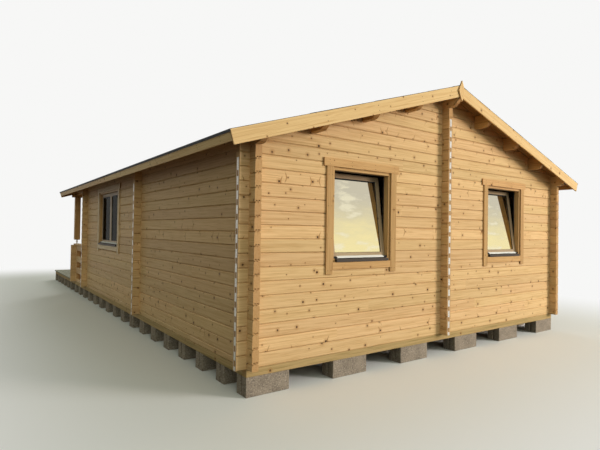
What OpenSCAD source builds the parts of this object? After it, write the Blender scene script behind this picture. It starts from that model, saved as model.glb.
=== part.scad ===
// Log cabin with a covered end porch and an open terrace beyond it.
// Cross-notched wall logs on a treated base beam and concrete blocks, low gable roof on log purlins.
// Millimetres, +Z up. Origin on the ground under the middle of the roof.
// -Y is the two-window gable, +Y the porch, X runs across the cabin.

/* [Logs] */
// Height one log adds to the wall
course = 135; // [110:1:180]
// Log thickness
log_t = 70; // [44:1:120]
// How far a crossing log runs past the wall it crosses
log_end = 105; // [60:1:200]
// Depth of the V at each log joint
log_v = 6; // [2:1:12]

/* [Plan] */
// Width over the outer faces of the side walls
hut_w = 5720; // [4000:10:8000]
// Gable face to the cross partition
room_l = 3320; // [2000:10:5000]
// Gable face to the porch wall
house_l = 7200; // [5000:10:9000]
// Gable face to the porch rail
rail_l = 8470; // [7500:10:10500]

/* [Roof] */
// Roof pitch in degrees
pitch = 17.4; // [12:0.1:30]
// Height of the roof boards at the ridge
ridge_z = 3418; // [2800:1:4200]
// Eave overhang past the side wall
eave_over = 335; // [150:5:500]
// Gable overhang past the gable face and the porch rail
gable_over = 250; // [120:5:500]
// Roof board thickness
board_t = 19; // [15:1:28]
// Roofing felt thickness
felt_t = 5; // [3:1:8]
// Bargeboard depth, square to the slope
barge_h = 136; // [90:1:200]
// Eave fascia depth
fascia_h = 118; // [90:1:180]
// Thickness of bargeboards and fascias
trim_t = 20; // [15:1:28]
// Purlin depth
purlin_h = 165; // [120:1:220]
// Ridge purlin depth
ridge_h = 230; // [150:1:300]
// Rounding of the lower corners where roof logs end
end_r = 100; // [40:1:120]

/* [Base] */
// Concrete block height
block_h = 190; // [150:5:250]
// Concrete block length
block_l = 485; // [390:5:600]
// Concrete block width
block_w = 185; // [100:5:250]
// Base beam height
beam_h = 75; // [45:1:120]
// Joist width
joist_w = 45; // [38:1:70]
// Gable face to the first side block
first_block = 455; // [300:5:700]
// Spacing of the side blocks and of the joists on them
joist_pitch = 530; // [400:10:700]
// Floor board thickness
floor_t = 28; // [18:1:35]
// Deck board width
deck_w = 120; // [90:1:145]
// Gap between deck boards
deck_gap = 6; // [3:1:10]
// Length of the open terrace beyond the porch rail
terrace_l = 3045; // [1200:5:4000]
// Spacing of the terrace blocks and joists
terrace_pitch = 490; // [400:10:700]

/* [Windows and doors] */
// Distance of a gable window from the middle
win_x = 1420; // [900:10:2000]
// Width of a gable window hole
win_w = 900; // [600:10:1300]
// Width of a side window hole
side_win_w = 1440; // [900:10:1800]
// Side window centre, from the gable face
side_win_y = 5330; // [4400:10:6200]
// Window hole height
win_h = 1030; // [700:5:1300]
// Underside of the window hole above the base beam
win_sill = 965; // [700:5:1200]
// Window frame bar
frame_b = 42; // [30:1:60]
// Sash bar
sash_b = 55; // [40:1:80]
// Sash depth
sash_t = 44; // [30:1:60]
// Tilt of the open gable sashes in degrees
tilt = 7.7; // [0:0.1:20]
// Casing board width
casing_w = 90; // [60:1:120]
// Entrance door width
door_w = 900; // [700:10:1200]
// Width of the partition doorways
doorway_w = 800; // [700:10:1000]
// Distance of a partition doorway from the middle
doorway_x = 760; // [600:10:1800]
// Width of the way in through the porch rail
gate_w = 1100; // [800:10:1600]

/* [Hidden] */
half_w = hut_w / 2;
end_x = half_w + log_end;
roof_l = rail_l + log_t + 2 * gable_over;
y_gable = gable_over - roof_l / 2;
y_cross = y_gable + room_l;
y_porch = y_gable + house_l;
y_rail = y_gable + rail_l;
base_z = block_h + beam_h;
slope = tan(pitch);
eave_x = half_w + eave_over;
board_v = board_t / cos(pitch);
felt_v = felt_t / cos(pitch);
rail_k = 6.5;
plate_k = 15.5;
top_k = 24;
cap_t = 28;
plate_y = roof_l / 2 - trim_t;
block_n = 1 + floor((rail_l + log_t - 2 * block_w - first_block) / joist_pitch);
block_y = [for (i = [0:block_n - 1]) y_gable + first_block + i * joist_pitch];
terrace_y = y_rail + log_t;
terrace_end = terrace_y + terrace_l;
terrace_n = floor((terrace_l - block_w - 300) / terrace_pitch);
terrace_blocks = [for (i = [terrace_n:-1:0]) terrace_end - block_w - i * terrace_pitch];
z_rail = base_z + rail_k * course;
z_plate = base_z + plate_k * course;
cap_over = 30;
deck_over = 20;
post_w = 120;
plate_w = 100;
post_at = [half_w - log_t / 2 + 12, y_rail + log_t / 2 + 12];
foot_h = 100;
post_top = base_z + 15 * course;
door_h = 15 * course;
sash_gap = 3;
sash_y = 40;
purlin_x = [for (i = [-3:3]) i * (half_w - log_t / 2) / 4];

// A block between two corners.
module block(a, b) {
    translate(a)
        cube(b - a);
}

// A rectangle between two corners.
module pane2(a, b) {
    translate(a)
        square(b - a);
}

// Sweeps an X-Z outline along Y.
module along_y(y0, y1) {
    translate([0, y1, 0])
        rotate([90, 0, 0])
            linear_extrude(y1 - y0)
                children();
}

// Sweeps a Y-Z outline along X.
module along_x(x0, x1) {
    translate([x0, 0, 0])
        rotate([90, 0, 90])
            linear_extrude(x1 - x0)
                children();
}

// A piece and its mirror image across the middle of the cabin.
module both_sides() {
    children();
    mirror([1, 0, 0])
        children();
}

// Underside of the roof boards at a distance x from the middle.
function under_z(x) = ridge_z - board_v - abs(x) * slope;

// Joint heights of a stack of logs; side walls start with half a log.
function joints(half, n) =
    half ? concat([0], [for (i = [0:n - 1]) (i + 0.5) * course]) : [for (i = [0:n]) i * course];

// One face of the stack, from the bottom up, with a V at every joint.
function face(x, v, z) =
    [for (i = [0:len(z) - 2]) for (p = [[x + v, z[i]], [x, z[i] + abs(v)], [x, z[i + 1] - abs(v)]]) p];

// Points in reverse order.
function flip(p) = [for (i = [len(p) - 1:-1:0]) p[i]];

// Cross section of a stack of logs.
module log_stack(half, n) {
    z = joints(half, n);
    translate([0, base_z])
        polygon(concat(face(0, log_v, z), flip(face(log_t, -log_v, z))));
}

// Notches cut in a wall where another wall crosses it at u; the two sets interleave.
module notches(u, half, k0, k1) {
    for (k = [k0:k1])
        translate([u, base_z + (k + (half ? 0.25 : -0.25)) * course])
            square([log_t, course / 2]);
}

// Everything under the roof boards, as wide as the log ends.
module under_roof(w) {
    polygon([[-w, base_z], [-w, under_z(w)], [0, under_z(0)], [w, under_z(w)], [w, base_z]]);
}

// Underside of the purlin at x.
function purlin_z(x) = under_z(x) - (x == 0 ? ridge_h : purlin_h);

// Slots for the purlins, open at the top.
module purlin_slots(xs) {
    for (x = xs)
        pane2([x - log_t / 2, purlin_z(x)], [x + log_t / 2, ridge_z + 1]);
}

// Purlin sections, cut to the slope on top.
module purlin_sections(xs) {
    intersection() {
        purlin_slots(xs);
        under_roof(end_x);
    }
}

// A gable-shaped log wall across the cabin, less the outline given as its child.
module gable_wall(y, w) {
    intersection() {
        translate([0, y, 0])
            along_x(-w, w)
                log_stack(false, top_k);
        along_y(y - 1, y + log_t + 1)
            difference() {
                under_roof(w);
                purlin_slots(purlin_x);
                for (u = [-half_w, half_w - log_t])
                    notches(u, false, 0, 17);
                children();
            }
    }
}

// Window hole in a wall outline.
module window_hole(u, w) {
    pane2([u - w / 2, base_z + win_sill], [u + w / 2, base_z + win_sill + win_h]);
}

module front_wall() {
    color("BurlyWood")
        gable_wall(y_gable, end_x) {
            window_hole(-win_x, win_w);
            window_hole(win_x, win_w);
            notches(-log_t / 2, false, 0, 22);
        }
}

module cross_partition() {
    color("BurlyWood")
        gable_wall(y_cross, end_x) {
            for (u = [-doorway_x, doorway_x])
                pane2([u - doorway_w / 2, base_z - 1], [u + doorway_w / 2, base_z + 15 * course]);
            notches(-log_t / 2, false, 0, 22);
        }
}

module porch_wall() {
    color("BurlyWood")
        gable_wall(y_porch, end_x) {
            window_hole(-win_x, win_w);
            window_hole(win_x, win_w);
            pane2([-door_w / 2, base_z - 1], [door_w / 2, base_z + 15 * course]);
        }
}

module rear_gable() {
    color("BurlyWood")
        gable_wall(y_rail, end_x)
            pane2([-end_x - 1, base_z - 1], [end_x + 1, base_z + 15 * course]);
}

// A side wall from the gable to the porch, below the eave plate.
module side_wall() {
    color("Peru")
        intersection() {
            translate([-half_w, 0, 0])
                along_y(y_gable - log_end, y_porch + log_t + log_end)
                    log_stack(true, 17);
            along_x(-half_w - 1, -half_w + log_t + 1)
                difference() {
                    pane2([-plate_y, base_z], [plate_y, z_plate]);
                    for (y = [y_gable, y_cross, y_porch])
                        notches(y, true, 0, 15);
                    window_hole(y_gable + side_win_y, side_win_w);
                }
        }
}

module left_wall() {
    side_wall();
}

module right_wall() {
    mirror([1, 0, 0])
        side_wall();
}

module centre_partition() {
    color("BurlyWood")
        intersection() {
            translate([-log_t / 2, 0, 0])
                along_y(y_gable - log_end, y_cross + log_t + log_end)
                    log_stack(true, top_k);
            along_x(-log_t, log_t)
                difference() {
                    pane2([-plate_y, base_z], [plate_y, purlin_z(0)]);
                    notches(y_gable, true, 0, 22);
                    notches(y_cross, true, 0, 22);
                }
        }
}

// Side view of a log that carries the roof, its lower end corners rounded.
module roof_log(z) {
    difference() {
        pane2([-plate_y, z], [plate_y, ridge_z]);
        for (s = [-1, 1])
            difference() {
                translate([s * plate_y, z])
                    square(1.7 * end_r, center = true);
                translate([s * (plate_y - 0.98 * end_r), z + 0.98 * end_r])
                    circle(r = end_r, $fn = 64);
            }
    }
}

// Top log of each side wall, running out over both gables.
module eave_plates() {
    x = half_w - log_t;
    color("Peru")
        both_sides()
            intersection() {
                along_y(-plate_y, plate_y)
                    polygon([[-half_w + log_v, z_plate], [-half_w, z_plate + log_v], [-half_w, under_z(half_w)],
                        [-x, under_z(x)], [-x, z_plate + log_v], [-x - log_v, z_plate]]);
                along_x(-half_w - 1, -x + 1)
                    difference() {
                        roof_log(z_plate);
                        for (y = [y_gable, y_cross, y_porch, y_rail])
                            notches(y, true, 15, 17);
                    }
            }
}

// Porch rail along each side: spaced logs held by a column of log ends at the corner.
module side_rails() {
    color("Peru")
        both_sides()
            intersection() {
                translate([-half_w, 0, 0])
                    along_y(y_porch + log_t + log_end, y_rail + log_t + log_end)
                        log_stack(true, 6);
                along_x(-half_w - 1, -half_w + log_t + 1)
                    difference() {
                        pane2([0, base_z], [plate_y, z_rail]);
                        for (z = [base_z + course / 2:2 * course:z_rail - course])
                            pane2([0, z], [y_rail - log_end, z + course]);
                        notches(y_rail, true, 0, 5);
                    }
            }
}

// Two stretches of porch rail, each from a corner to an entry post.
module porch_rails() {
    x = gate_w / 2 + log_t;
    color("BurlyWood")
        both_sides()
            intersection() {
                translate([0, y_rail, 0])
                    along_x(-end_x, -x)
                        log_stack(false, 7);
                along_y(y_rail - 1, y_rail + log_t + 1)
                    difference() {
                        pane2([-end_x, base_z], [0, z_rail]);
                        notches(-half_w, false, 0, 6);
                        for (z = [base_z + course:2 * course:z_rail])
                            pane2([-half_w + log_t + log_end, z], [-x - log_t, z + course]);
                    }
            }
}

module rail_caps() {
    x = half_w - log_t - 12;
    z = z_rail + cap_t;
    color("BurlyWood")
        both_sides()
            union() {
                block([-half_w - cap_over, y_porch + log_t + log_end, z_rail], [-x, y_rail + log_t + log_end, z]);
                block([-half_w - cap_over, y_rail - 12, z_rail], [-gate_w / 2 - log_t, y_rail + log_t + cap_over, z]);
            }
}

// A row of blocks lengthways along X.
module block_row(y) {
    n = 6;
    for (i = [0:n - 1])
        translate([-half_w + i * (hut_w - block_l) / (n - 1), y, 0])
            cube([block_l, block_w, block_h]);
}

// Blocks from x inward, one under each joist.
module joist_blocks(x, ys) {
    for (y = ys)
        translate([x, y, 0])
            cube([block_l, block_w, block_h]);
}

module front_footings() {
    color("DarkGray")
        block_row(y_gable);
}

module rear_footings() {
    color("DarkGray")
        block_row(y_rail + log_t - block_w);
}

module side_footings() {
    color("DarkGray")
        both_sides()
            joist_blocks(-half_w, block_y);
}

module middle_footings() {
    color("DarkGray")
        joist_blocks(-block_l / 2, block_y);
}

// Treated beams under every wall.
module base_beams() {
    color("OliveDrab")
        union() {
            for (y = [y_gable, y_cross, y_porch, y_rail])
                block([-half_w, y, block_h], [half_w, y + log_t, base_z]);
            for (x = [-half_w, half_w - log_t])
                block([x, y_gable, block_h], [x + log_t, y_rail + log_t, base_z]);
            block([-log_t / 2, y_gable, block_h], [log_t / 2, y_cross + log_t, base_z]);
        }
}

// Joists between the base beams; the porch joists run the other way.
module floor_joists() {
    x = half_w - log_t;
    color("Tan")
        union() {
            for (b = block_y) {
                y = b + (block_w - joist_w) / 2;
                if (y + joist_w < y_cross) {
                    block([-x, y, block_h], [-log_t / 2, y + joist_w, base_z]);
                    block([log_t / 2, y, block_h], [x, y + joist_w, base_z]);
                }
                if (y > y_cross + log_t && y + joist_w < y_porch)
                    block([-x, y, block_h], [x, y + joist_w, base_z]);
            }
            for (i = [-4:4])
                translate([i * 610 - joist_w / 2, y_porch + log_t, block_h])
                    cube([joist_w, y_rail - y_porch - log_t, beam_h]);
        }
}

module room_floors() {
    x = half_w - log_t;
    color("Wheat")
        union() {
            block([-x, y_gable + log_t, base_z], [-log_t / 2, y_cross, base_z + floor_t]);
            block([log_t / 2, y_gable + log_t, base_z], [x, y_cross, base_z + floor_t]);
            block([-x, y_cross + log_t, base_z], [x, y_porch, base_z + floor_t]);
        }
}

module porch_deck() {
    x = half_w - log_t;
    n = floor((y_rail - y_porch - log_t) / (deck_w + deck_gap));
    color("Tan")
        for (i = [0:n - 1])
            translate([-x, y_porch + log_t + deck_gap + i * (deck_w + deck_gap), base_z])
                cube([2 * x, deck_w, floor_t]);
}

module terrace_footings() {
    color("DarkGray")
        union() {
            both_sides()
                joist_blocks(-half_w, terrace_blocks);
            joist_blocks(-block_l / 2, terrace_blocks);
        }
}

// Edge beams and joists of the terrace; its first joist lies against the rail beam.
module terrace_frame() {
    x = half_w - log_t;
    color("OliveDrab")
        union() {
            both_sides()
                block([-half_w, terrace_y, block_h], [-x, terrace_end, base_z]);
            block([-x, terrace_end - log_t, block_h], [x, terrace_end, base_z]);
            block([-x, terrace_y, block_h], [x, terrace_y + joist_w, base_z]);
            for (i = [0:terrace_n - 1])
                translate([-x, terrace_blocks[i] + (block_w - joist_w) / 2, block_h])
                    cube([2 * x, joist_w, beam_h]);
        }
}

// Boards along the terrace; the outermost ones start clear of the log ends above them.
module terrace_deck() {
    w = hut_w + 2 * deck_over;
    n = round((w + deck_gap) / (deck_w + deck_gap));
    pitch = (w + deck_gap) / n;
    color("Tan")
        for (i = [0:n - 1]) {
            x = -w / 2 + i * pitch;
            outer = max(abs(x), abs(x + pitch)) > half_w - log_t;
            block(
                [x, terrace_y + (outer ? log_end + deck_gap : 16), base_z],
                [x + pitch - deck_gap, terrace_end + deck_over, base_z + floor_t]
            );
        }
}

module corner_posts() {
    z = z_rail + cap_t + foot_h;
    color("Tan")
        both_sides()
            translate([post_at[0] - post_w / 2, post_at[1] - post_w / 2, z])
                cube([post_w, post_w, post_top - z]);
}

module entry_posts() {
    color("Tan")
        both_sides()
            block([-gate_w / 2 - log_t, y_rail - 10, base_z], [-gate_w / 2, y_rail + log_t + 10, post_top]);
}

// Adjustable metal feet that carry the corner posts as the logs settle.
module post_feet() {
    color("Silver")
        both_sides()
            translate([post_at[0], post_at[1], z_rail + cap_t]) {
                for (z = [0, foot_h - 6])
                    translate([-plate_w / 2, -plate_w / 2, z])
                        cube([plate_w, plate_w, 6]);
                translate([0, 0, 3])
                    cylinder(d = 30, h = foot_h - 6, $fn = 48);
                translate([0, 0, foot_h / 2 - 12])
                    cylinder(d = 46, h = 24, $fn = 6);
            }
}

// Purlins in the named places, full roof length.
module purlin_run(xs) {
    color("BurlyWood")
        for (x = xs)
            intersection() {
                along_y(-plate_y, plate_y)
                    purlin_sections([x]);
                along_x(x - log_t, x + log_t)
                    roof_log(purlin_z(x));
            }
}

module ridge_purlin() {
    purlin_run([0]);
}

module side_purlins() {
    purlin_run([for (i = [0:6]) if (i != 3) purlin_x[i]]);
}

// One roof slope: from z0 above the ridge line down by t, out to x.
module slope_slab(z0, t, x) {
    z1 = ridge_z + z0;
    polygon([[0, z1], [-x, z1 - x * slope], [-x, z1 - t - x * slope], [0, z1 - t]]);
}

module roof_boards() {
    color("BurlyWood")
        along_y(-plate_y, plate_y)
            slope_slab(0, board_v, eave_x - trim_t);
}

module left_roof_boards() {
    roof_boards();
}

module right_roof_boards() {
    mirror([1, 0, 0])
        roof_boards();
}

module roof_felt() {
    color("DimGray")
        both_sides()
            along_y(-roof_l / 2, roof_l / 2)
                slope_slab(felt_v, felt_v, eave_x + 3);
}

// A pair of bargeboards meeting at the ridge, ends cut square to the board.
module barge_pair(y) {
    color("Tan")
        along_y(y, y + trim_t)
            both_sides()
                intersection() {
                    translate([-eave_x, ridge_z - eave_x * slope])
                        rotate(pitch)
                            translate([0, -barge_h])
                                square([eave_x / cos(pitch) + barge_h, barge_h]);
                    pane2([-eave_x - barge_h, 0], [0, ridge_z]);
                }
}

module front_bargeboards() {
    barge_pair(-roof_l / 2);
}

module rear_bargeboards() {
    barge_pair(roof_l / 2 - trim_t);
}

// Lozenge boards over the bargeboard joints.
module apex_plates() {
    z = ridge_z - 76;
    color("Tan")
        for (y = [-roof_l / 2 - trim_t, roof_l / 2])
            along_y(y, y + trim_t)
                polygon([[0, z - 134], [64, z], [0, z + 134], [-64, z]]);
}

module eave_fascias() {
    z = ridge_z - eave_x * slope;
    color("Tan")
        both_sides()
            block([-eave_x, -roof_l / 2 + trim_t, z - fascia_h], [-eave_x + trim_t, roof_l / 2 - trim_t, z]);
}

// A rectangular frame standing in the X-Z plane: width, height, bar, depth.
module bars(w, h, b, d) {
    difference() {
        translate([-w / 2, 0, 0])
            cube([w, d, h]);
        translate([-w / 2 + b, -1, b])
            cube([w - 2 * b, d + 2, h - 2 * b]);
    }
}

// A sash for a hole of the given width, with n lights.
module sash(w, n) {
    sw = w - 2 * frame_b - 2 * sash_gap;
    sh = win_h - 2 * frame_b - sash_gap;
    lw = sw / n;
    for (i = [0:n - 1])
        translate([-sw / 2 + lw * (i + 0.5), 0, 0])
            bars(n > 1 ? lw - 1 : lw, sh, sash_b, sash_t);
}

// The panes of a sash.
module sash_panes(w, n) {
    sw = w - 2 * frame_b - 2 * sash_gap;
    sh = win_h - 2 * frame_b - sash_gap;
    lw = sw / n;
    pw = (n > 1 ? lw - 1 : lw) - 2 * sash_b;
    for (i = [0:n - 1])
        translate([-sw / 2 + lw * (i + 0.5) - pw / 2, sash_t / 2 - 2, sash_b])
            cube([pw, 4, sh - 2 * sash_b]);
}

// Places a piece in the front gable windows, facing -Y.
module at_front() {
    for (x = [-win_x, win_x])
        translate([x, y_gable, base_z + win_sill])
            children();
}

// Places a piece in the porch wall windows, facing +Y.
module at_porch() {
    for (x = [-win_x, win_x])
        translate([x, y_porch + log_t, base_z + win_sill])
            rotate([0, 0, 180])
                children();
}

// Places a piece in the side wall windows, facing outward.
module at_sides() {
    both_sides()
        translate([-half_w, y_gable + side_win_y, base_z + win_sill])
            rotate([0, 0, -90])
                children();
}

// Leans a sash into the room about its inner bottom edge.
module leaning() {
    translate([0, sash_y + sash_t, frame_b])
        rotate([-tilt, 0, 0])
            translate([0, -sash_t, 0])
                children();
}

module window_frames() {
    color("Wheat")
        union() {
            at_front()
                bars(win_w, win_h, frame_b, log_t);
            at_porch()
                bars(win_w, win_h, frame_b, log_t);
        }
}

module side_window_frames() {
    color("Wheat")
        at_sides()
            bars(side_win_w, win_h, frame_b, log_t);
}

module tilted_sashes() {
    color("Wheat")
        at_front()
            leaning()
                sash(win_w, 1);
}

module tilted_panes() {
    color("LightBlue")
        at_front()
            leaning()
                sash_panes(win_w, 1);
}

module closed_sashes() {
    color("Wheat")
        union() {
            at_porch()
                translate([0, sash_y, frame_b])
                    sash(win_w, 1);
            at_sides()
                translate([0, sash_y, frame_b])
                    sash(side_win_w, 2);
        }
}

module closed_panes() {
    color("LightBlue")
        union() {
            at_porch()
                translate([0, sash_y, frame_b])
                    sash_panes(win_w, 1);
            at_sides()
                translate([0, sash_y, frame_b])
                    sash_panes(side_win_w, 2);
        }
}

// Boards round the outside of a window: sides running below, a longer head and a short apron.
module casing(w) {
    o = w / 2 + casing_w - 15;
    block([-o, -trim_t, -120], [-o + casing_w, 0, win_h - 10]);
    block([o - casing_w, -trim_t, -120], [o, 0, win_h - 10]);
    block([-o - 40, -trim_t, win_h - 10], [o + 40, 0, win_h + 78]);
    block([-o + casing_w, -trim_t, -75], [o - casing_w, 0, 5]);
}

module window_casings() {
    color("Tan")
        union() {
            at_front()
                casing(win_w);
            at_porch()
                casing(win_w);
        }
}

module side_casings() {
    color("Tan")
        at_sides()
            casing(side_win_w);
}

// Folded metal sill lying on the frame and turned down over the apron.
module sill(w) {
    s = w / 2 - 62;
    t = 2;
    z = frame_b;
    y = -34;
    along_x(-s, s)
        polygon([[sash_y - 1, z], [sash_y - 1, z + t], [10, z + t], [y, z - 9], [y, 8], [y + t, 8],
            [y + t, z - 9 - t], [10, z]]);
}

// Weather rail standing on the sill in front of the sash.
module drip_rail(w) {
    s = w / 2 - frame_b - sash_gap - sash_b;
    z = frame_b + 2;
    along_x(-s, s)
        polygon([[10, z], [sash_y - 1, z], [sash_y - 1, z + 25], [sash_y - 8, z + 25], [2, z + 12], [2, z + 4],
            [10, z + 4]]);
}

module window_sills() {
    color("Silver")
        union() {
            at_front()
                sill(win_w);
            at_porch()
                sill(win_w);
            at_sides()
                sill(side_win_w);
        }
}

module drip_rails() {
    color("White")
        union() {
            at_front()
                drip_rail(win_w);
            at_porch()
                drip_rail(win_w);
            at_sides()
                drip_rail(side_win_w);
        }
}

module door_frame() {
    color("Wheat")
        translate([0, y_porch, base_z])
            difference() {
                translate([-door_w / 2, 0, 0])
                    cube([door_w, log_t, door_h]);
                translate([-door_w / 2 + frame_b, -1, floor_t + 12])
                    cube([door_w - 2 * frame_b, log_t + 2, door_h - floor_t - 12 - frame_b]);
            }
}

module door_leaf() {
    w = door_w - 2 * frame_b - 6;
    z = base_z + floor_t + 15;
    h = door_h - floor_t - 18 - frame_b;
    color("Wheat")
        difference() {
            block([-w / 2, y_porch + 14, z], [w / 2, y_porch + 54, z + h]);
            block([-w / 2 + 110, y_porch, z + 900], [w / 2 - 110, y_porch + log_t, z + h - 110]);
        }
}

module door_pane() {
    w = door_w - 2 * frame_b - 6;
    z = base_z + floor_t + 15;
    h = door_h - floor_t - 18 - frame_b;
    color("LightBlue")
        block([-w / 2 + 110, y_porch + 30, z + 900], [w / 2 - 110, y_porch + 38, z + h - 110]);
}

module door_handles() {
    color("Silver")
        for (s = [[y_porch + 54, 1], [y_porch + 14, -1]])
            translate([340, s[0], base_z + 1050])
                scale([1, s[1], 1])
                    union() {
                        translate([-20, 0, -70])
                            cube([40, 6, 160]);
                        translate([0, 3, 20])
                            rotate([-90, 0, 0])
                                cylinder(d = 18, h = 45, $fn = 32);
                        translate([-115, 39, 11])
                            cube([124, 12, 18]);
                    }
}

// Slotted strap on a column of log ends, z0 to z1.
module strap(z0, z1) {
    difference() {
        translate([-18, -2, z0])
            cube([36, 2, z1 - z0]);
        for (i = [0:floor((z1 - z0) / course) - 1])
            translate([-15, -3, z0 + 40 + i * course])
                cube([30, 4, 56]);
    }
}

module storm_straps() {
    z1 = base_z + 14.6 * course;
    color("Silver")
        union() {
            both_sides()
                for (y = [y_gable, y_cross, y_porch])
                    translate([-end_x, y + log_t / 2, 0])
                        rotate([0, 0, -90])
                            strap(base_z, z1);
            translate([0, y_gable - log_end, 0])
                strap(base_z, base_z + 20.4 * course);
        }
}

front_footings();
rear_footings();
side_footings();
middle_footings();
base_beams();
floor_joists();
room_floors();
porch_deck();
terrace_footings();
terrace_frame();
terrace_deck();
front_wall();
left_wall();
right_wall();
cross_partition();
centre_partition();
porch_wall();
rear_gable();
eave_plates();
side_rails();
porch_rails();
rail_caps();
corner_posts();
entry_posts();
post_feet();
ridge_purlin();
side_purlins();
left_roof_boards();
right_roof_boards();
roof_felt();
front_bargeboards();
rear_bargeboards();
apex_plates();
eave_fascias();
window_frames();
side_window_frames();
tilted_sashes();
tilted_panes();
closed_sashes();
closed_panes();
window_casings();
side_casings();
window_sills();
drip_rails();
door_frame();
door_leaf();
door_pane();
door_handles();
storm_straps();
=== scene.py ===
"""Looks of a log cabin with a covered end porch and an open terrace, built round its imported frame.

The plain solids are shown as single logs, boards, blocks and joinery, each with its own finish.
Metres, +Z up, +Y along the ridge towards the porch.
"""

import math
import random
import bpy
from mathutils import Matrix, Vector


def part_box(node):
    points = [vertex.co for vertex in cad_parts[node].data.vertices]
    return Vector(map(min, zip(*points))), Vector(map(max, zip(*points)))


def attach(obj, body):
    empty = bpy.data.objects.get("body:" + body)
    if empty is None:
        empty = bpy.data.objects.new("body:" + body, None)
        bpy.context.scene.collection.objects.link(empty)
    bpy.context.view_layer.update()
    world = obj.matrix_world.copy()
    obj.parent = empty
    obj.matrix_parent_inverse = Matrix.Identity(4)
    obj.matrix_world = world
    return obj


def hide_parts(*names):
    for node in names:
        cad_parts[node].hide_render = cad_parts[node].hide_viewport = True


bl_info = {
    "name": "Log cabin looks",
    "version": (1, 0, 0),
    "blender": (4, 5, 0),
    "location": "3D View > Sidebar > Cabin",
    "description": "Logs, boards, joinery and finishes of a log cabin with an end porch and a terrace",
    "category": "Object",
}

import bmesh
import bpy
from bpy.props import FloatProperty, FloatVectorProperty, PointerProperty
from bpy.types import Operator, Panel, PropertyGroup
from mathutils import Matrix, Vector

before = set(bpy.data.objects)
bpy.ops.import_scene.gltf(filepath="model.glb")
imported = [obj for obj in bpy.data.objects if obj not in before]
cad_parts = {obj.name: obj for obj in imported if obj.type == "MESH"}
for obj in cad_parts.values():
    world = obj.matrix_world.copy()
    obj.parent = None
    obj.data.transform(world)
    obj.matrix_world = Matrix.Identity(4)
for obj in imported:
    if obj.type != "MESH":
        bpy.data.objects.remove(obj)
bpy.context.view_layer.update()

# Places taken from the frame.
BASE_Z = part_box("base_beams")[1].z
BLOCK_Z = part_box("base_beams")[0].z
HALF_W = -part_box("left_wall")[0].x
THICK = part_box("front_wall")[1].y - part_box("front_wall")[0].y
LOG_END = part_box("front_wall")[1].x - HALF_W
Y_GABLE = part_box("front_wall")[0].y
Y_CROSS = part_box("cross_partition")[0].y
Y_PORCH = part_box("porch_wall")[0].y
Y_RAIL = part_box("rear_gable")[0].y
Z_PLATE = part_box("eave_plates")[0].z
Z_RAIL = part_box("rail_caps")[0].z
Z_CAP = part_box("rail_caps")[1].z
Z_DOOR_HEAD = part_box("rear_gable")[0].z
ROOF_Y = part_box("ridge_purlin")[1].y
BOARD_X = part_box("right_roof_boards")[1].x
RIDGE_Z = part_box("left_roof_boards")[1].z
EAVE_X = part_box("eave_fascias")[1].x
GATE_X = -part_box("entry_posts")[0].x
FLOOR_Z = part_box("room_floors")[1].z
ROOF_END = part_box("roof_felt")[1].y
TERRACE_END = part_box("terrace_deck")[1].y

X, Y, Z = Vector((1, 0, 0)), Vector((0, 1, 0)), Vector((0, 0, 1))

# Small sizes in metres that a user has no reason to change.
EASED = 0.003
DECK_EDGE = 0.004
FELT_BED = 0.0002


def length_prop(name, description, default):
    """A length in metres that a user can change."""
    return FloatProperty(
        name=name, description=description, default=default, unit="LENGTH", precision=4
    )


def angle_prop(name, description, degrees):
    """An angle that a user can change."""
    return FloatProperty(
        name=name, description=description, default=math.radians(degrees), subtype="ANGLE"
    )


def linear(code):
    """An sRGB hex colour as linear red, green, blue and alpha."""
    parts = [int(code[i : i + 2], 16) / 255 for i in (0, 2, 4)]
    return (*(c / 12.92 if c <= 0.04045 else ((c + 0.055) / 1.055) ** 2.4 for c in parts), 1.0)


def colour_prop(name, description, code):
    """A colour that a user can change, given as sRGB hex."""
    return FloatVectorProperty(
        name=name, description=description, default=linear(code), size=4, subtype="COLOR", min=0, max=1
    )


BACKGROUND = linear("F7F7F6")


class CabinLogs(PropertyGroup):
    course: length_prop("Course", "Height that one log adds to a wall", 0.135)
    vee: length_prop("V depth", "Depth of the V at each log joint", 0.008)
    seam: length_prop("Seam", "Gap between two logs, seen at their ends", 0.004)
    tongue_w: length_prop("Tongue width", "Width of each of the two tongues on a log", 0.016)
    tongue_h: length_prop("Tongue height", "Height of the tongues", 0.017)
    purlin_h: length_prop("Purlin depth", "Depth of a side purlin at its middle", 0.165)
    ridge_h: length_prop("Ridge purlin depth", "Depth of the ridge purlin", 0.230)
    end_r: length_prop("End rounding", "Radius of the lower corner where a roof log ends", 0.100)
    spliced: length_prop("Spliced length", "Longest run of a log between two finger joints", 4.2)


class CabinRoof(PropertyGroup):
    pitch: angle_prop("Pitch", "Slope of the roof", 17.4)
    board_t: length_prop("Roof board thickness", "Thickness of the roof boards", 0.019)
    board_w: length_prop("Roof board width", "Width that one roof board covers", 0.094)
    felt_t: length_prop("Felt thickness", "Thickness of one layer of felt", 0.003)
    felt_w: length_prop("Felt width", "Width of a roll of felt", 1.0)
    lap: length_prop("Felt lap", "Overlap of two strips of felt", 0.1)
    lip: length_prop("Felt lip", "How far the felt is turned down over the fascias", 0.022)
    barge_h: length_prop("Bargeboard depth", "Depth of the bargeboards, square to the slope", 0.136)
    fascia_h: length_prop("Fascia depth", "Depth of the eave fascias, square to the slope", 0.1)


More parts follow.
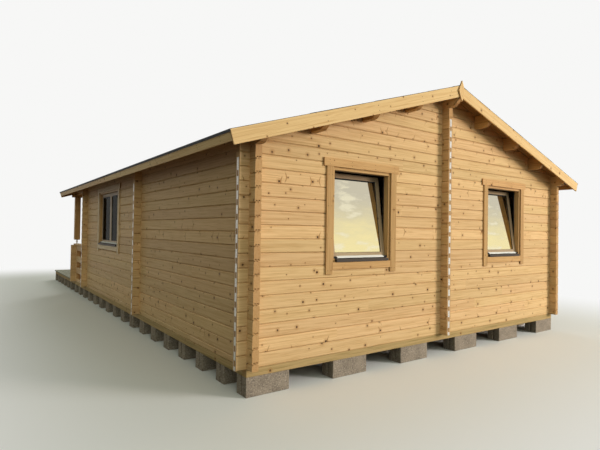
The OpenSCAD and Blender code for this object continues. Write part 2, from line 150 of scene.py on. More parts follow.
class CabinJoinery(PropertyGroup):
    win_x: length_prop("Window place", "Distance of a gable window from the middle", 1.42)
    win_w: length_prop("Gable window width", "Width of a gable window hole", 0.9)
    side_w: length_prop("Side window width", "Width of a side window hole", 1.44)
    side_y: length_prop("Side window place", "Middle of a side window, from the gable face", 5.33)
    win_h: length_prop("Window height", "Height of a window hole", 1.03)
    sill_z: length_prop("Sill height", "Underside of a window hole above the base beam", 0.965)
    frame_b: length_prop("Frame bar", "Width of a window frame bar", 0.042)
    sash_b: length_prop("Sash bar", "Width of a sash bar", 0.055)
    sash_t: length_prop("Sash depth", "Depth of a sash", 0.044)
    sash_y: length_prop("Sash setback", "How far a sash sits behind the frame's face", 0.040)
    sash_gap: length_prop("Sash gap", "Gap round a sash", 0.003)
    tilt: angle_prop("Tilt", "Lean of the open gable sashes", 7.7)
    casing_w: length_prop("Casing width", "Width of a casing board", 0.09)
    door_w: length_prop("Door width", "Width of the entrance door's frame", 0.9)
    doorway_w: length_prop("Doorway width", "Width of a partition doorway", 0.8)
    doorway_x: length_prop("Doorway place", "Distance of a doorway from the middle", 0.76)


class CabinBoards(PropertyGroup):
    edge: length_prop("Eased edge", "Rounding on the edges of a planed board", 0.003)
    floor_w: length_prop("Floor board width", "Width that one floor board covers", 0.12)
    deck_w: length_prop("Deck board width", "Width of a porch deck board", 0.12)
    deck_gap: length_prop("Deck gap", "Gap between porch deck boards", 0.006)
    joist_t: length_prop("Joist width", "Width of a terrace joist", 0.045)
    nail_r: length_prop("Nail head", "Radius of a nail head", 0.005)
    groove: length_prop("Block groove", "Width of the groove in a block's end", 0.026)
    chip: length_prop("Block edge", "Worn edge of a concrete block", 0.006)


class CabinColours(PropertyGroup):
    log_pale: colour_prop("Log, early wood", "Pale wood of the logs", "E5C391")
    log_dark: colour_prop("Log, late wood", "Darker streaks of the logs", "BD9561")
    board_pale: colour_prop("Board, early wood", "Pale wood of the boards", "EDCC96")
    board_dark: colour_prop("Board, late wood", "Darker streaks of the boards", "CBA068")
    knot: colour_prop("Knot", "Heart of a knot", "331C0D")
    end: colour_prop("End grain", "Sawn ends of the logs", "A87846")
    treated_pale: colour_prop("Treated wood", "Pale part of the pressure-treated timber", "C6A676")
    treated_dark: colour_prop("Treated streaks", "Darker part of the pressure-treated timber", "8E7A4C")
    concrete: colour_prop("Concrete", "Cast concrete blocks", "918474")
    felt: colour_prop("Felt", "Bitumen roofing felt", "2B2B2D")
    sill: colour_prop("Sill", "Grey-brown coat of the window sills", "4F4742")
    drip: colour_prop("Weather rail", "White coat of the weather rails", "ECEBE6")


GROUPS = {
    "cabin_logs": CabinLogs,
    "cabin_roof": CabinRoof,
    "cabin_joinery": CabinJoinery,
    "cabin_boards": CabinBoards,
    "cabin_colours": CabinColours,
}


# Nodes and finishes.


def add(tree, kind, settings=None, inputs=None):
    """Adds one node; a socket given as an input is linked, anything else is set on it."""
    node = tree.nodes.new("ShaderNode" + kind)
    for name, value in (settings or {}).items():
        setattr(node, name, value)
    for key, value in (inputs or {}).items():
        if isinstance(value, bpy.types.NodeSocket):
            tree.links.new(value, node.inputs[key])
        else:
            node.inputs[key].default_value = value
    return node


def new_finish(name):
    """An empty node material with its shader, ready for links."""
    material = bpy.data.materials.new(name)
    material.use_nodes = True
    tree = material.node_tree
    return material, tree, tree.nodes["Principled BSDF"]


def math_node(tree, operation, a, b=0.0, c=0.0, clamp=False):
    """One step of arithmetic."""
    return add(tree, "Math", {"operation": operation, "use_clamp": clamp}, {0: a, 1: b, 2: c}).outputs[0]


def vector_node(tree, operation, a, b=(0, 0, 0)):
    """One step of arithmetic on places; a length or a dot product comes out as one number."""
    result = "Value" if operation in ("LENGTH", "DOT_PRODUCT") else "Vector"
    return add(tree, "VectorMath", {"operation": operation}, {0: a, 1: b}).outputs[result]


def blend_colour(tree, amount, a, b):
    """Colour a where the amount is 0, and b where it is 1."""
    mix = add(tree, "Mix", {"data_type": "RGBA", "clamp_factor": True}, {0: amount, 6: a, 7: b})
    return mix.outputs[2]


def span(tree, value, low, high, to_low=0.0, to_high=1.0):
    """Carries what lies between low and high over to another range, softly at both ends."""
    inputs = {0: value, 1: low, 2: high, 3: to_low, 4: to_high}
    return add(tree, "MapRange", {"interpolation_type": "SMOOTHSTEP"}, inputs).outputs[0]


def piece_place(tree):
    """Where a point of the piece lies, in metres."""
    return add(tree, "TexCoord").outputs["Object"]


def noise(tree, place, scale, detail):
    """Soft noise, with so many blots to the metre."""
    return add(tree, "TexNoise", inputs={"Vector": place, "Scale": scale, "Detail": detail}).outputs["Fac"]


def drawn_noise(tree, place, size, detail):
    """Soft noise drawn out to blots of a size given in metres, one number for each axis."""
    scaled = add(tree, "Mapping", {"vector_type": "TEXTURE"}, {"Vector": place, "Scale": size}).outputs[0]
    return noise(tree, scaled, 1.0, detail)


def emboss(tree, shader, height, strength, depth):
    """Gives the surface its fine relief, of a depth in metres."""
    bump = add(tree, "Bump", inputs={"Height": height, "Strength": strength, "Distance": depth})
    tree.links.new(bump.outputs[0], shader.inputs["Normal"])


def even(shader, settings):
    """Sets what is the same all over a surface on the shader's own sockets."""
    for name, value in settings.items():
        shader.inputs[name].default_value = value


def knot_marks(tree, grain, part, tone, knots):
    """Knots 9 to 29 mm across, one in each cell of a loose net, so many to the square metre.

    Returns how strong these are at each point: the knot's heart, its stain, the halo round it, the bow of
    crowded rings beside it, and the swirl that bends the rings round it.
    """
    per_m = math.sqrt(knots)
    smallest, spread = 0.0045, 0.010
    flat = add(tree, "CombineXYZ", inputs={0: part[0], 1: part[2]}).outputs[0]
    net = add(tree, "TexVoronoi", {"voronoi_dimensions": "2D"}, {"Vector": flat, "Scale": per_m}).outputs
    draw = add(tree, "SeparateColor", inputs={0: net["Color"]}).outputs
    radius = math_node(tree, "MULTIPLY_ADD", math_node(tree, "POWER", draw[0], 1.5), spread, smallest)
    ragged = noise(tree, grain, 160.0, 1.0)
    away = math_node(tree, "DIVIDE", net["Distance"], per_m)
    away = math_node(tree, "ADD", away, math_node(tree, "MULTIPLY_ADD", ragged, 0.005, -0.0025))
    ratio = math_node(tree, "DIVIDE", away, radius)
    heart = span(tree, ratio, 0.75, 1.05, 1.0, 0.0)
    stain = math_node(tree, "MULTIPLY", heart, math_node(tree, "MULTIPLY_ADD", draw[1], 0.3, 0.7))
    halo = span(tree, ratio, 0.9, 3.2, 1.0, 0.0)
    swirl = span(tree, away, 0.0, 0.075, 1.0, 0.0)

    # The bow is a thin ragged arc that opens away from the knot and is as tall as a log's face.
    offset = vector_node(tree, "SUBTRACT", flat, net["Position"])
    offset = add(tree, "SeparateXYZ", inputs={0: offset}).outputs
    side = math_node(tree, "SIGN", math_node(tree, "SUBTRACT", draw[2], 0.5))
    rise = math_node(tree, "ABSOLUTE", offset[1])
    arc = math_node(tree, "SQRT", math_node(tree, "MULTIPLY_ADD", rise, rise, 0.0006))
    arc = math_node(tree, "MULTIPLY_ADD", arc, 0.55, 0.005)
    bow = math_node(tree, "SUBTRACT", math_node(tree, "MULTIPLY", offset[0], side), arc)
    bow = math_node(tree, "MULTIPLY_ADD", ragged, 0.014, math_node(tree, "SUBTRACT", bow, 0.007))
    bow = span(tree, math_node(tree, "ABSOLUTE", bow), 0.0015, 0.008, 1.0, 0.0)
    fading = span(tree, rise, 0.025, 0.07, 1.0, 0.0)
    strength = span(tree, draw[1], 0.25, 0.6, 0.0, 0.85)
    # Only some logs were sawn so that these bows show.
    chosen = span(tree, tone, 0.62, 0.68)
    for share in (fading, strength, chosen):
        bow = math_node(tree, "MULTIPLY", bow, share)
    return heart, stain, halo, bow, swirl


def growth_rings(tree, grain, part, swirl, ring_mm):
    """Growth rings, wide enough to show at this size, that wander and bend round each knot."""
    bend = drawn_noise(tree, grain, (1.1, 0.16, 0.16), 2.0)
    across = add(tree, "CombineXYZ", inputs={1: part[1], 2: part[2]}).outputs[0]
    pith = vector_node(tree, "LENGTH", across)
    pith = math_node(tree, "MULTIPLY_ADD", bend, 0.035, pith)
    pith = math_node(tree, "MULTIPLY_ADD", swirl, 0.022, pith)
    ring = math_node(tree, "FRACT", math_node(tree, "DIVIDE", pith, ring_mm / 1000))
    return math_node(tree, "POWER", ring, 2.6)


def wood(name, pale, dark, knots=22.0, ring_mm=11.0, swing=0.09, end_shade=0.55, rough=0.58):
    """Softwood sawn from a trunk: growth rings, drawn-out fibres, knots and darker end grain.

    The grain attribute is a place in the trunk in metres: along it, through the piece and across its width.
    knots is their number to the square metre, swing is how far the shade of single pieces differs, and
    end_shade is how dark their sawn ends are.
    """
    colours = bpy.context.scene.cabin_colours
    material, tree, shader = new_finish(name)
    grain = add(tree, "Attribute", {"attribute_name": "grain"}).outputs["Vector"]
    tone = add(tree, "Attribute", {"attribute_name": "tone"}).outputs["Fac"]
    end = add(tree, "Attribute", {"attribute_name": "end_grain"}).outputs["Fac"]
    part = add(tree, "SeparateXYZ", inputs={0: grain}).outputs
    heart, stain, halo, bow, swirl = knot_marks(tree, grain, part, tone, knots)
    ring = growth_rings(tree, grain, part, swirl, ring_mm)

    # Fibres: streaks about 18 mm, 8 mm and 3 mm wide, drawn out along the piece.
    streak = drawn_noise(tree, grain, (0.9, 0.018, 0.018), 3.0)
    line = drawn_noise(tree, grain, (0.3, 0.008, 0.008), 1.0)
    fibre = drawn_noise(tree, grain, (0.12, 0.003, 0.003), 2.0)
    depth = math_node(tree, "MULTIPLY_ADD", ring, 0.42, span(tree, streak, 0.32, 0.75, 0.0, 0.42))
    depth = math_node(tree, "ADD", depth, span(tree, line, 0.54, 0.72, 0.0, 0.4))
    depth = math_node(tree, "MULTIPLY_ADD", fibre, 0.18, depth, clamp=True)
    colour = blend_colour(tree, depth, pale, dark)

    # Each piece has its own shade, and a warmer or yellower cast.
    lift = math_node(tree, "MULTIPLY_ADD", tone, 2 * swing, 1 - swing)
    cast = math_node(tree, "FRACT", math_node(tree, "MULTIPLY", tone, 7.3))
    hue = math_node(tree, "MULTIPLY_ADD", cast, 0.008, 0.496)
    colour = add(tree, "HueSaturation", inputs={"Hue": hue, "Value": lift, "Color": colour}).outputs[0]
    for amount, mark in (
        (math_node(tree, "MULTIPLY", halo, 0.42), linear("A4713F")),
        (bow, linear("966433")),
        (stain, tuple(colours.knot)),
        (math_node(tree, "MULTIPLY", end, end_shade), tuple(colours.end)),
    ):
        colour = blend_colour(tree, amount, colour, mark)
    tree.links.new(colour, shader.inputs["Base Color"])

    # The fibres differ a little in gloss and height, the rings stand up and the knots lie lower.
    matt = math_node(tree, "MULTIPLY_ADD", fibre, 0.12, rough - 0.06)
    tree.links.new(matt, shader.inputs["Roughness"])
    even(shader, {"Specular IOR Level": 0.25})
    relief = math_node(tree, "MULTIPLY_ADD", ring, 0.4, fibre)
    relief = math_node(tree, "SUBTRACT", relief, math_node(tree, "MULTIPLY", heart, 0.8))
    emboss(tree, shader, relief, 0.25, 0.0012)
    return material


def spruce_log(colours):
    """Spruce, machine planed and untreated: fresh yellow wood, small dark knots, a dry satin face."""
    return wood("planed spruce log", tuple(colours.log_pale), tuple(colours.log_dark))


def spruce_board(colours):
    """Spruce boards, planed: paler and calmer than the logs, with fewer knots."""
    pale, dark = tuple(colours.board_pale), tuple(colours.board_dark)
    return wood("planed spruce board", pale, dark, knots=13, swing=0.06)


def casing_board(colours):
    """Spruce casings, planed: a little browner than the logs round them."""
    return wood("planed spruce casing", linear("D0A974"), linear("A2784A"), knots=12, swing=0.13)


def sheen_painted_casing(colours):
    """Clear spruce casings, planed very smooth: pale wood, painted paler still for the sheen they show when
    seen along the wall.
    """
    pale, dark = linear("F2DDB8"), linear("B18A58")
    return wood("smooth planed spruce casing, painted sheen", pale, dark, knots=3, swing=0.04, rough=0.55)


def spruce_joinery(colours):
    """Clear pine joinery, sanded: nearly knot-free, smooth and close-ringed."""
    pale, dark = linear("CFA974"), linear("AA7E4D")
    return wood("sanded pine joinery", pale, dark, knots=1.5, ring_mm=4, swing=0.04, rough=0.5)


def shade_painted_sash_pine(colours):
    """The same sanded pine in the sashes, painted a little greyer and darker than the frames round them for
    the shade deep in the opening.
    """
    pale, dark = linear("B7A083"), linear("8F785C")
    return wood("sanded pine sash, painted shade", pale, dark, knots=1.5, ring_mm=4, swing=0.04, rough=0.5)


def shade_painted_roof_spruce(colours):
    """Spruce roof boards, planed on the face seen from below: painted brown for the shade they lie in."""
    return wood("planed roof board, painted shade", linear("B58B57"), linear("875F33"), knots=14, swing=0.13)


def shade_painted_structural_spruce(colours):
    """Planed spruce of the purlins and posts: painted a little browner than the wall logs, for the shade
    they stand in.
    """
    return wood("planed structural spruce, painted shade", linear("D6AE74"), linear("A67A45"), knots=18, swing=0.1)


def treated_pine(colours):
    """Sawn pine, soaked under pressure with copper salts: a green-grey cast and rougher faces."""
    pale, dark = tuple(colours.treated_pale), tuple(colours.treated_dark)
    return wood("pressure-treated pine", pale, dark, knots=9, end_shade=0.3, rough=0.72)


def green_decking(colours):
    """Pine decking with the same salts, planed and newly laid: pale grey-green."""
    pale, dark = linear("989681"), linear("75735C")
    return wood("green-treated pine decking", pale, dark, knots=10, swing=0.06, rough=0.62)


def cast_concrete(colours):
    """Concrete cast in a mould: warm grey cement, sand, grit of 14 mm and blow holes of 8 to 12 mm."""
    material, tree, shader = new_finish("cast concrete")
    place = piece_place(tree)
    cement = noise(tree, place, 9.0, 5.0)
    sand = noise(tree, place, 260.0, 2.0)
    grit = noise(tree, place, 70.0, 2.0)
    holes = add(tree, "TexVoronoi", inputs={"Vector": place, "Scale": 26.0}).outputs["Distance"]
    hole = span(tree, holes, 0.10, 0.16, 1.0, 0.0)
    colour = tuple(colours.concrete)
    for amount, mark in (
        (span(tree, cement, 0.35, 0.7), "7A6E60"),
        (math_node(tree, "MULTIPLY", sand, 0.35), "B3A696"),
        (span(tree, grit, 0.56, 0.66, 0.0, 0.55), "5A5048"),
        (span(tree, grit, 0.44, 0.34, 0.0, 0.5), "C2B7A8"),
        (math_node(tree, "MULTIPLY", hole, 0.7), "54514C"),
    ):
        colour = blend_colour(tree, amount, colour, linear(mark))
    tree.links.new(colour, shader.inputs["Base Color"])
    even(shader, {"Roughness": 0.9, "Specular IOR Level": 0.25})
    relief = math_node(tree, "SUBTRACT", math_node(tree, "MULTIPLY_ADD", sand, 0.6, cement), hole)
    emboss(tree, shader, relief, 0.6, 0.003)
    return material


def bitumen_felt(colours):
    """Bitumen felt rolled with slate grit: near black and dull, with a faint sparkle of 3 mm grit."""
    material, tree, shader = new_finish("slate-faced bitumen felt")
    place = piece_place(tree)
    grit = add(tree, "TexVoronoi", inputs={"Vector": place, "Scale": 330.0}).outputs["Color"]
    speck = add(tree, "SeparateColor", inputs={0: grit}).outputs[0]
    drift = noise(tree, place, 1.3, 4.0)
    colour = blend_colour(tree, span(tree, speck, 0.6, 1.0, 0.0, 0.6), tuple(colours.felt), linear("5C5D60"))
    colour = blend_colour(tree, span(tree, drift, 0.4, 0.7, 0.0, 0.35), colour, linear("3A3A3B"))
    tree.links.new(colour, shader.inputs["Base Color"])
    even(shader, {"Roughness": 0.86})
    emboss(tree, shader, speck, 0.35, 0.002)
    return material


def galvanised_steel(colours):
    """Steel dipped in zinc: bright grey, with the flowered spangle of cooled zinc in 12 mm flakes."""
    material, tree, shader = new_finish("hot-dip galvanised steel")
    flakes = add(tree, "TexVoronoi", inputs={"Vector": piece_place(tree), "Scale": 80.0}).outputs["Color"]
    flake = add(tree, "SeparateColor", inputs={0: flakes}).outputs[0]
    colour = blend_colour(tree, flake, linear("EAE5DC"), linear("D0CBC3"))
    tree.links.new(colour, shader.inputs["Base Color"])
    tree.links.new(math_node(tree, "MULTIPLY_ADD", flake, 0.16, 0.36), shader.inputs["Roughness"])
    even(shader, {"Metallic": 0.4})
    return material


def browned_steel(colours):
    """Nail heads browned by the weather: dull dark brown with a bloom of rust."""
    material, tree, shader = new_finish("browned steel nail")
    rust = noise(tree, piece_place(tree), 90.0, 2.0)
    colour = blend_colour(tree, rust, linear("3A2719"), linear("5C3B22"))
    tree.links.new(colour, shader.inputs["Base Color"])
    even(shader, {"Roughness": 0.7, "Specular IOR Level": 0.2})
    return material


def coated_aluminium(name, colour):
    """Aluminium under a baked powder coat: an even colour with a fine orange peel of 2 mm."""
    material, tree, shader = new_finish(name)
    place = piece_place(tree)
    peel = noise(tree, place, 480.0, 1.0)
    drift = noise(tree, place, 3.0, 2.0)
    lift = span(tree, drift, 0.3, 0.7, 0.96, 1.04)
    shade = add(tree, "HueSaturation", inputs={"Value": lift, "Color": colour}).outputs[0]
    tree.links.new(shade, shader.inputs["Base Color"])
    even(shader, {"Roughness": 0.6, "Specular IOR Level": 0.2})
    emboss(tree, shader, peel, 0.15, 0.0004)
    return material


def grey_aluminium(colours):
    """The grey-brown coat of the window sills."""
    return coated_aluminium("grey coated aluminium", tuple(colours.sill))


def white_aluminium(colours):
    """The white coat of the weather rails."""
    return coated_aluminium("white coated aluminium", tuple(colours.drip))


def seal_rubber(colours):
    """Extruded rubber seal: matt black with a soft grey bloom."""
    material, tree, shader = new_finish("extruded rubber seal")
    bloom = noise(tree, piece_place(tree), 40.0, 2.0)
    colour = blend_colour(tree, bloom, linear("141414"), linear("262626"))
    tree.links.new(colour, shader.inputs["Base Color"])
    even(shader, {"Roughness": 0.7})
    return material


def new_pane(name, settings):
    """Float glass with the slight wave that its bed leaves in it."""
    material, tree, shader = new_finish(name)
    even(shader, {"Transmission Weight": 1.0, "Roughness": 0.0, **settings})
    place = piece_place(tree)
    emboss(tree, shader, noise(tree, place, 2.2, 0.0), 0.04, 0.01)
    return material, tree, shader, place


def painted_sky_glass(colours):
    """Glass with a thin metal coat against the sun: a mirror, with a sky reflection painted in its colour,
    greyer high up and yellower low down.

    Soft patches of painted sheen in the coat are 340 mm wide and 100 mm tall.
    """
    material, tree, shader, place = new_pane("sun-coated glass, painted sky reflection", {"Metallic": 0.95, "IOR": 1.5})
    height = add(tree, "SeparateXYZ", inputs={0: place}).outputs[2]
    painted_sheen_patch = drawn_noise(tree, place, (0.34, 0.34, 0.1), 4.0)
    # Painted reflection: pale yellow low on the pane, grey high up, with paler patches of sheen.
    level = math_node(tree, "MULTIPLY_ADD", painted_sheen_patch, 0.5, math_node(tree, "SUBTRACT", height, 0.25))
    colour = blend_colour(tree, span(tree, level, 1.35, 2.05), linear("FFEFB2"), linear("D3CBB4"))
    colour = blend_colour(tree, span(tree, painted_sheen_patch, 0.52, 0.68, 0.0, 0.7), colour, linear("FFF6D4"))
    tree.links.new(colour, shader.inputs["Base Color"])
    return material


def clear_glass(colours):
    """Clear glass before unlit rooms: dark, so its tint is deeper and its glint less than real glass has."""
    tint = linear("66623A")
    material, *_ = new_pane("clear float glass", {"Base Color": tint, "Specular Tint": tint, "IOR": 1.035})
    return material


FINISHES = {
    "log": spruce_log,
    "board": spruce_board,
    "casing": casing_board,
    "sheen_painted_casing": sheen_painted_casing,
    "structural": shade_painted_structural_spruce,
    "nail": browned_steel,
    "joinery": spruce_joinery,
    "sash": shade_painted_sash_pine,
    "roof_board": shade_painted_roof_spruce,
    "treated_timber": treated_pine,
    "decking": green_decking,
    "concrete": cast_concrete,
    "felt": bitumen_felt,
    "galvanised": galvanised_steel,
    "sill_metal": grey_aluminium,
    "drip_white": white_aluminium,
    "rubber_seal": seal_rubber,
    "mirror_glass": painted_sky_glass,
    "glass": clear_glass,
}
made_finishes = {}


def finish_for(slot):
    """The finish of a record slot, made the first time it is asked for."""
    if slot not in made_finishes:
        made_finishes[slot] = FINISHES[slot](bpy.context.scene.cabin_colours)
    return made_finishes[slot]


def refinish(nodes, slot):
    """Gives nodes of the frame a finish, and leaves their shape alone."""
    for node in nodes:
        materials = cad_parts[node].data.materials
        materials.clear()
        materials.append(finish_for(slot))



# Shapes.


def island(vert):
    """Every vertex that is joined to one."""
    found, open_ends = {vert}, [vert]
    while open_ends:
        v = open_ends.pop()
        for e in v.link_edges:
            other = e.other_vert(v)
            if other not in found:
                found.add(other)
                open_ends.append(other)
    return list(found)


def edges_of(verts):
    """Every edge of some vertices."""
    return list({e for v in verts for e in v.link_edges})


def geometry(verts):
    """Vertices with their edges and faces, as the cutting operators want them."""
    faces = {f for v in verts for f in v.link_faces}
    return [*verts, *edges_of(verts), *faces]


def solid_boxes(node):
    """Lowest and highest corners of each separate solid of a node."""
    source = bmesh.new()
    source.from_mesh(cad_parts[node].data)
    bmesh.ops.remove_doubles(source, verts=source.verts[:], dist=0.0001)
    left, boxes = set(source.verts), []
    while left:
        group = island(next(iter(left)))
        left -= set(group)
        boxes.append([Vector([pick(v.co[i] for v in group) for i in range(3)]) for pick in (min, max)])
    source.free()
    return sorted(boxes, key=lambda box: tuple(round(k, 4) for k in box[0]))


def cut_plane(bm, geom, point, normal):
    """Cuts away what lies beyond a plane and closes the cut."""
    made = bmesh.ops.bisect_plane(bm, geom=geom, plane_co=point, plane_no=normal, clear_outer=True)
    rim = [e for e in made["geom_cut"] if isinstance(e, bmesh.types.BMEdge)]
    if rim:
        bmesh.ops.edgeloop_fill(bm, edges=rim)


def cut_off(bm, verts, point, normal):
    """Cuts one solid off at a plane and returns the vertices left of it."""
    cut_plane(bm, geometry(verts), point, normal)
    left = [v for v in verts if v.is_valid]
    return island(left[0]) if left else []


def sweep(bm, outline, start, through, across, along, length):
    """Extrudes a section outline, given as (through, across) pairs, along a direction."""
    verts = [bm.verts.new(start + through * a + across * b) for a, b in outline]
    face = bm.faces.new(verts)
    made = bmesh.ops.extrude_face_region(bm, geom=[face])
    moved = [g for g in made["geom"] if isinstance(g, bmesh.types.BMVert)]
    bmesh.ops.translate(bm, verts=moved, vec=along * length)
    return verts + moved


def ease(bm, edges, offset, segments):
    """Takes the sharpness off some edges of a solid and returns its vertices."""
    made = bmesh.ops.bevel(
        bm,
        geom=edges,
        offset=offset,
        offset_type="OFFSET",
        segments=segments,
        profile=0.5,
        affect="EDGES",
        material=-1,
    )
    return island(made["verts"][0])


def plain_box(bm, low, high):
    """A sharp box between two corners."""
    middle = Matrix.Translation((low + high) / 2) @ Matrix.Diagonal((*(high - low), 1.0))
    return bmesh.ops.create_cube(bm, size=1.0, matrix=middle)["verts"]


def eased_box(bm, low, high, edge=EASED, segments=1, place=None):
    """A box between two corners with its edges taken off."""
    verts = plain_box(bm, Vector(low), Vector(high))
    if edge:
        verts = ease(bm, edges_of(verts), edge, segments)
    if place is not None:
        bmesh.ops.transform(bm, matrix=place, verts=verts)
    return verts


class Timber:
    """A mesh being filled with lengths of timber, with the attributes that the wood finishes read."""

    def __init__(self, seed):
        self.bm = bmesh.new()
        self.bm.verts.layers.float_vector.new("grain")
        self.bm.verts.layers.float.new("tone")
        self.bm.faces.layers.float.new("end_grain")
        self.grain = self.bm.verts.layers.float_vector["grain"]
        self.tone = self.bm.verts.layers.float["tone"]
        self.end = self.bm.faces.layers.float["end_grain"]
        self.draw = random.Random(seed)

    def mark(self, verts, start, through, across, along, shade=None, sawn=1.0):
        """Gives a piece its own place in a trunk, its own shade and the darkness of its sawn ends."""
        # How far up the trunk it was sawn, and how far from the pith.
        draw = self.draw.uniform
        at = Vector((draw(0, 60), draw(-0.02, 0.09), draw(-0.06, 0.14)))
        shade = self.draw.random() if shade is None else shade
        for v in verts:
            p = v.co - start
            v[self.grain] = at + Vector((p.dot(along), p.dot(through), p.dot(across)))
            v[self.tone] = shade
        # A face that leans across the grain shows end grain.
        for f in {f for v in verts for f in v.link_faces}:
            f.normal_update()
            f[self.end] = sawn if abs(f.normal.dot(along)) > 0.35 else 0.0
        return verts

    def stick(self, low, high, along, edge=EASED, segments=1, place=None, shade=None):
        """A board or post between two corners, its grain along one axis and its thinner side through it."""
        low, high = Vector(low), Vector(high)
        size = high - low
        rest = sorted((a for a in (X, Y, Z) if a != along), key=lambda a: size.dot(a))
        verts = eased_box(self.bm, low, high, edge, segments)
        self.mark(verts, low, rest[0], rest[1], along, shade)
        if place is not None:
            bmesh.ops.transform(self.bm, matrix=place, verts=verts)
        return verts


def show(name, bm, slot, replaces=(), finish=None):
    """Closes a mesh into a piece that rides on the cabin and stands for its solids."""
    bmesh.ops.recalc_face_normals(bm, faces=bm.faces[:])
    mesh = bpy.data.meshes.new(name)
    bm.to_mesh(mesh)
    bm.free()
    mesh.materials.append(finish_for(finish or slot))
    piece = bpy.data.objects.new(name, mesh)
    bpy.context.scene.collection.objects.link(piece)
    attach(piece, "root")
    if replaces:
        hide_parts(*replaces)
    return piece


def under_roof(x):
    """Underside of the roof boards at a distance from the middle."""
    roof = bpy.context.scene.cabin_roof
    return RIDGE_Z - roof.board_t / math.cos(roof.pitch) - abs(x) * math.tan(roof.pitch)


def log_outline(logs, low, high, below, above, lean=0.0):
    """Section of a log: V edges, two grooves over the log below and two tongues under the one above."""
    v, t = logs.vee, THICK
    half, tall, play = logs.tongue_w / 2, logs.tongue_h, logs.seam
    places, taper = (0.3 * t, 0.7 * t), 0.7
    points = [(lean + v, low)]
    if below:
        for c in places:
            h, d = half + play, tall + play
            points += [(lean + c - h, low), (lean + c - taper * h, low + d)]
            points += [(lean + c + taper * h, low + d), (lean + c + h, low)]
    points += [(lean + t - v, low), (lean + t, low + v)]
    top = high - (play if above else 0)
    points += [(lean + t, top - v), (lean + t - v, top)]
    if above:
        for c in reversed(places):
            points += [(lean + c + half, top), (lean + c + taper * half, top + tall)]
            points += [(lean + c - taper * half, top + tall), (lean + c - half, top)]
    points += [(lean + v, top), (lean, top - v), (lean, low + v)]
    return points


def levels(half, top):
    """Lower and upper joint of each log, up to a height; a half stack starts with half a log."""
    sliver = 0.002
    course = bpy.context.scene.cabin_logs.course
    low, step = BASE_Z, course / 2 if half else course
    found = []
    while low < top - sliver:
        found.append((low, min(low + step, top)))
        low, step = low + step, course
    return found


def runs(start, end, low, high, holes, joints):
    """What the holes leave of one log, as (from, to, bottom, top), split at its finger joints."""
    sliver = 0.008
    marks = {start, end, *joints}
    for left, right, sill, head in holes:
        if sill < high and head > low:
            marks |= {left, right}
    marks = sorted(m for m in marks if start <= m <= end)
    found = []
    for a, b in zip(marks, marks[1:]):
        bottom, top = low, high
        for left, right, sill, head in holes:
            if left < (a + b) / 2 < right:
                if sill <= bottom < head:
                    bottom = head
                elif bottom < sill < top:
                    top = sill
        if top - bottom > sliver:
            found.append((a, b, bottom, top))
    return found


def lay_logs(timber, stack, reach, along, face, holes=(), lone=False):
    """Lays a wall of logs. face is where its outer face stands and the side, -1 or 1, that it looks to."""
    logs = bpy.context.scene.cabin_logs
    place, outward = face
    through = (Y if along is X else X) * -outward
    # The sawn ends of the logs that lie across the cabin face its sides, and are painted paler for how light
    # falls on them there.
    sawn = 0.6 if along is X else 1.0
    # Nearest that a finger joint comes to the start and to the end of a wall, and the shade's play.
    from_start, from_end, play = 0.9, 0.5, 0.16
    draw = timber.draw.uniform
    for i, (low, high) in enumerate(stack):
        joints, at = [], reach[0] + draw(from_start, logs.spliced)
        while at < reach[1] - from_end:
            joints.append(at)
            at += draw(0.5, 1.0) * logs.spliced
        lean = draw(-0.0008, 0.0008)
        shade = timber.draw.random()
        for a, b, bottom, top in runs(*reach, low, high, holes, joints):
            below = bottom == low and i > 0 and not lone
            above = top == high and i < len(stack) - 1 and not lone
            start = along * a + through * place * -outward
            outline = log_outline(logs, bottom, top, below, above, lean)
            verts = sweep(timber.bm, outline, start, through, Z, along, b - a)
            near = min(1.0, max(0.0, shade + draw(-play, play)))
            timber.mark(verts, start, through, Z, along, near, sawn)


def trim_gable(timber):
    """Cuts the ends of a gable's logs to the roof slopes."""
    slope = math.tan(bpy.context.scene.cabin_roof.pitch)
    bm = timber.bm
    for side in (-1, 1):
        everything = bm.verts[:] + bm.edges[:] + bm.faces[:]
        cut_plane(bm, everything, (0, 0, under_roof(0)), (side * slope, 0, 1))


def window_hole(joinery, middle, width):
    """A window's hole in its wall, as (left, right, sill, head)."""
    low = BASE_Z + joinery.sill_z
    return (middle - width / 2, middle + width / 2, low, low + joinery.win_h)


def gable_holes(joinery):
    """The two window holes of a gable."""
    return [window_hole(joinery, side * joinery.win_x, joinery.win_w) for side in (-1, 1)]


class CABIN_OT_gable_walls(Operator):
    """Lays the logs of the front gable, the cross partition, the porch wall and the rear gable"""

    bl_idname = "cabin.gable_walls"
    bl_label = "Gable walls"

    def execute(self, context):
        joinery = context.scene.cabin_joinery
        reach = HALF_W + LOG_END
        doorways = [
            (x - joinery.doorway_w / 2, x + joinery.doorway_w / 2, BASE_Z, Z_DOOR_HEAD)
            for x in (-joinery.doorway_x, joinery.doorway_x)
        ]
        door = (-joinery.door_w / 2, joinery.door_w / 2, BASE_Z, Z_DOOR_HEAD)
        stack = levels(False, under_roof(0))
        over_porch = [log for log in stack if log[0] > Z_DOOR_HEAD - 0.01]
        for node, y, logs, holes, seed in (
            ("front_wall", Y_GABLE, stack, gable_holes(joinery), 11),
            ("cross_partition", Y_CROSS, stack, doorways, 12),
            ("porch_wall", Y_PORCH, stack, [*gable_holes(joinery), door], 13),
            ("rear_gable", Y_RAIL, over_porch, [], 14),
        ):
            timber = Timber(seed)
            lay_logs(timber, logs, (-reach, reach), X, (y, -1), holes)
            trim_gable(timber)
            show(node + "_logs", timber.bm, "log", [node])
        return {"FINISHED"}


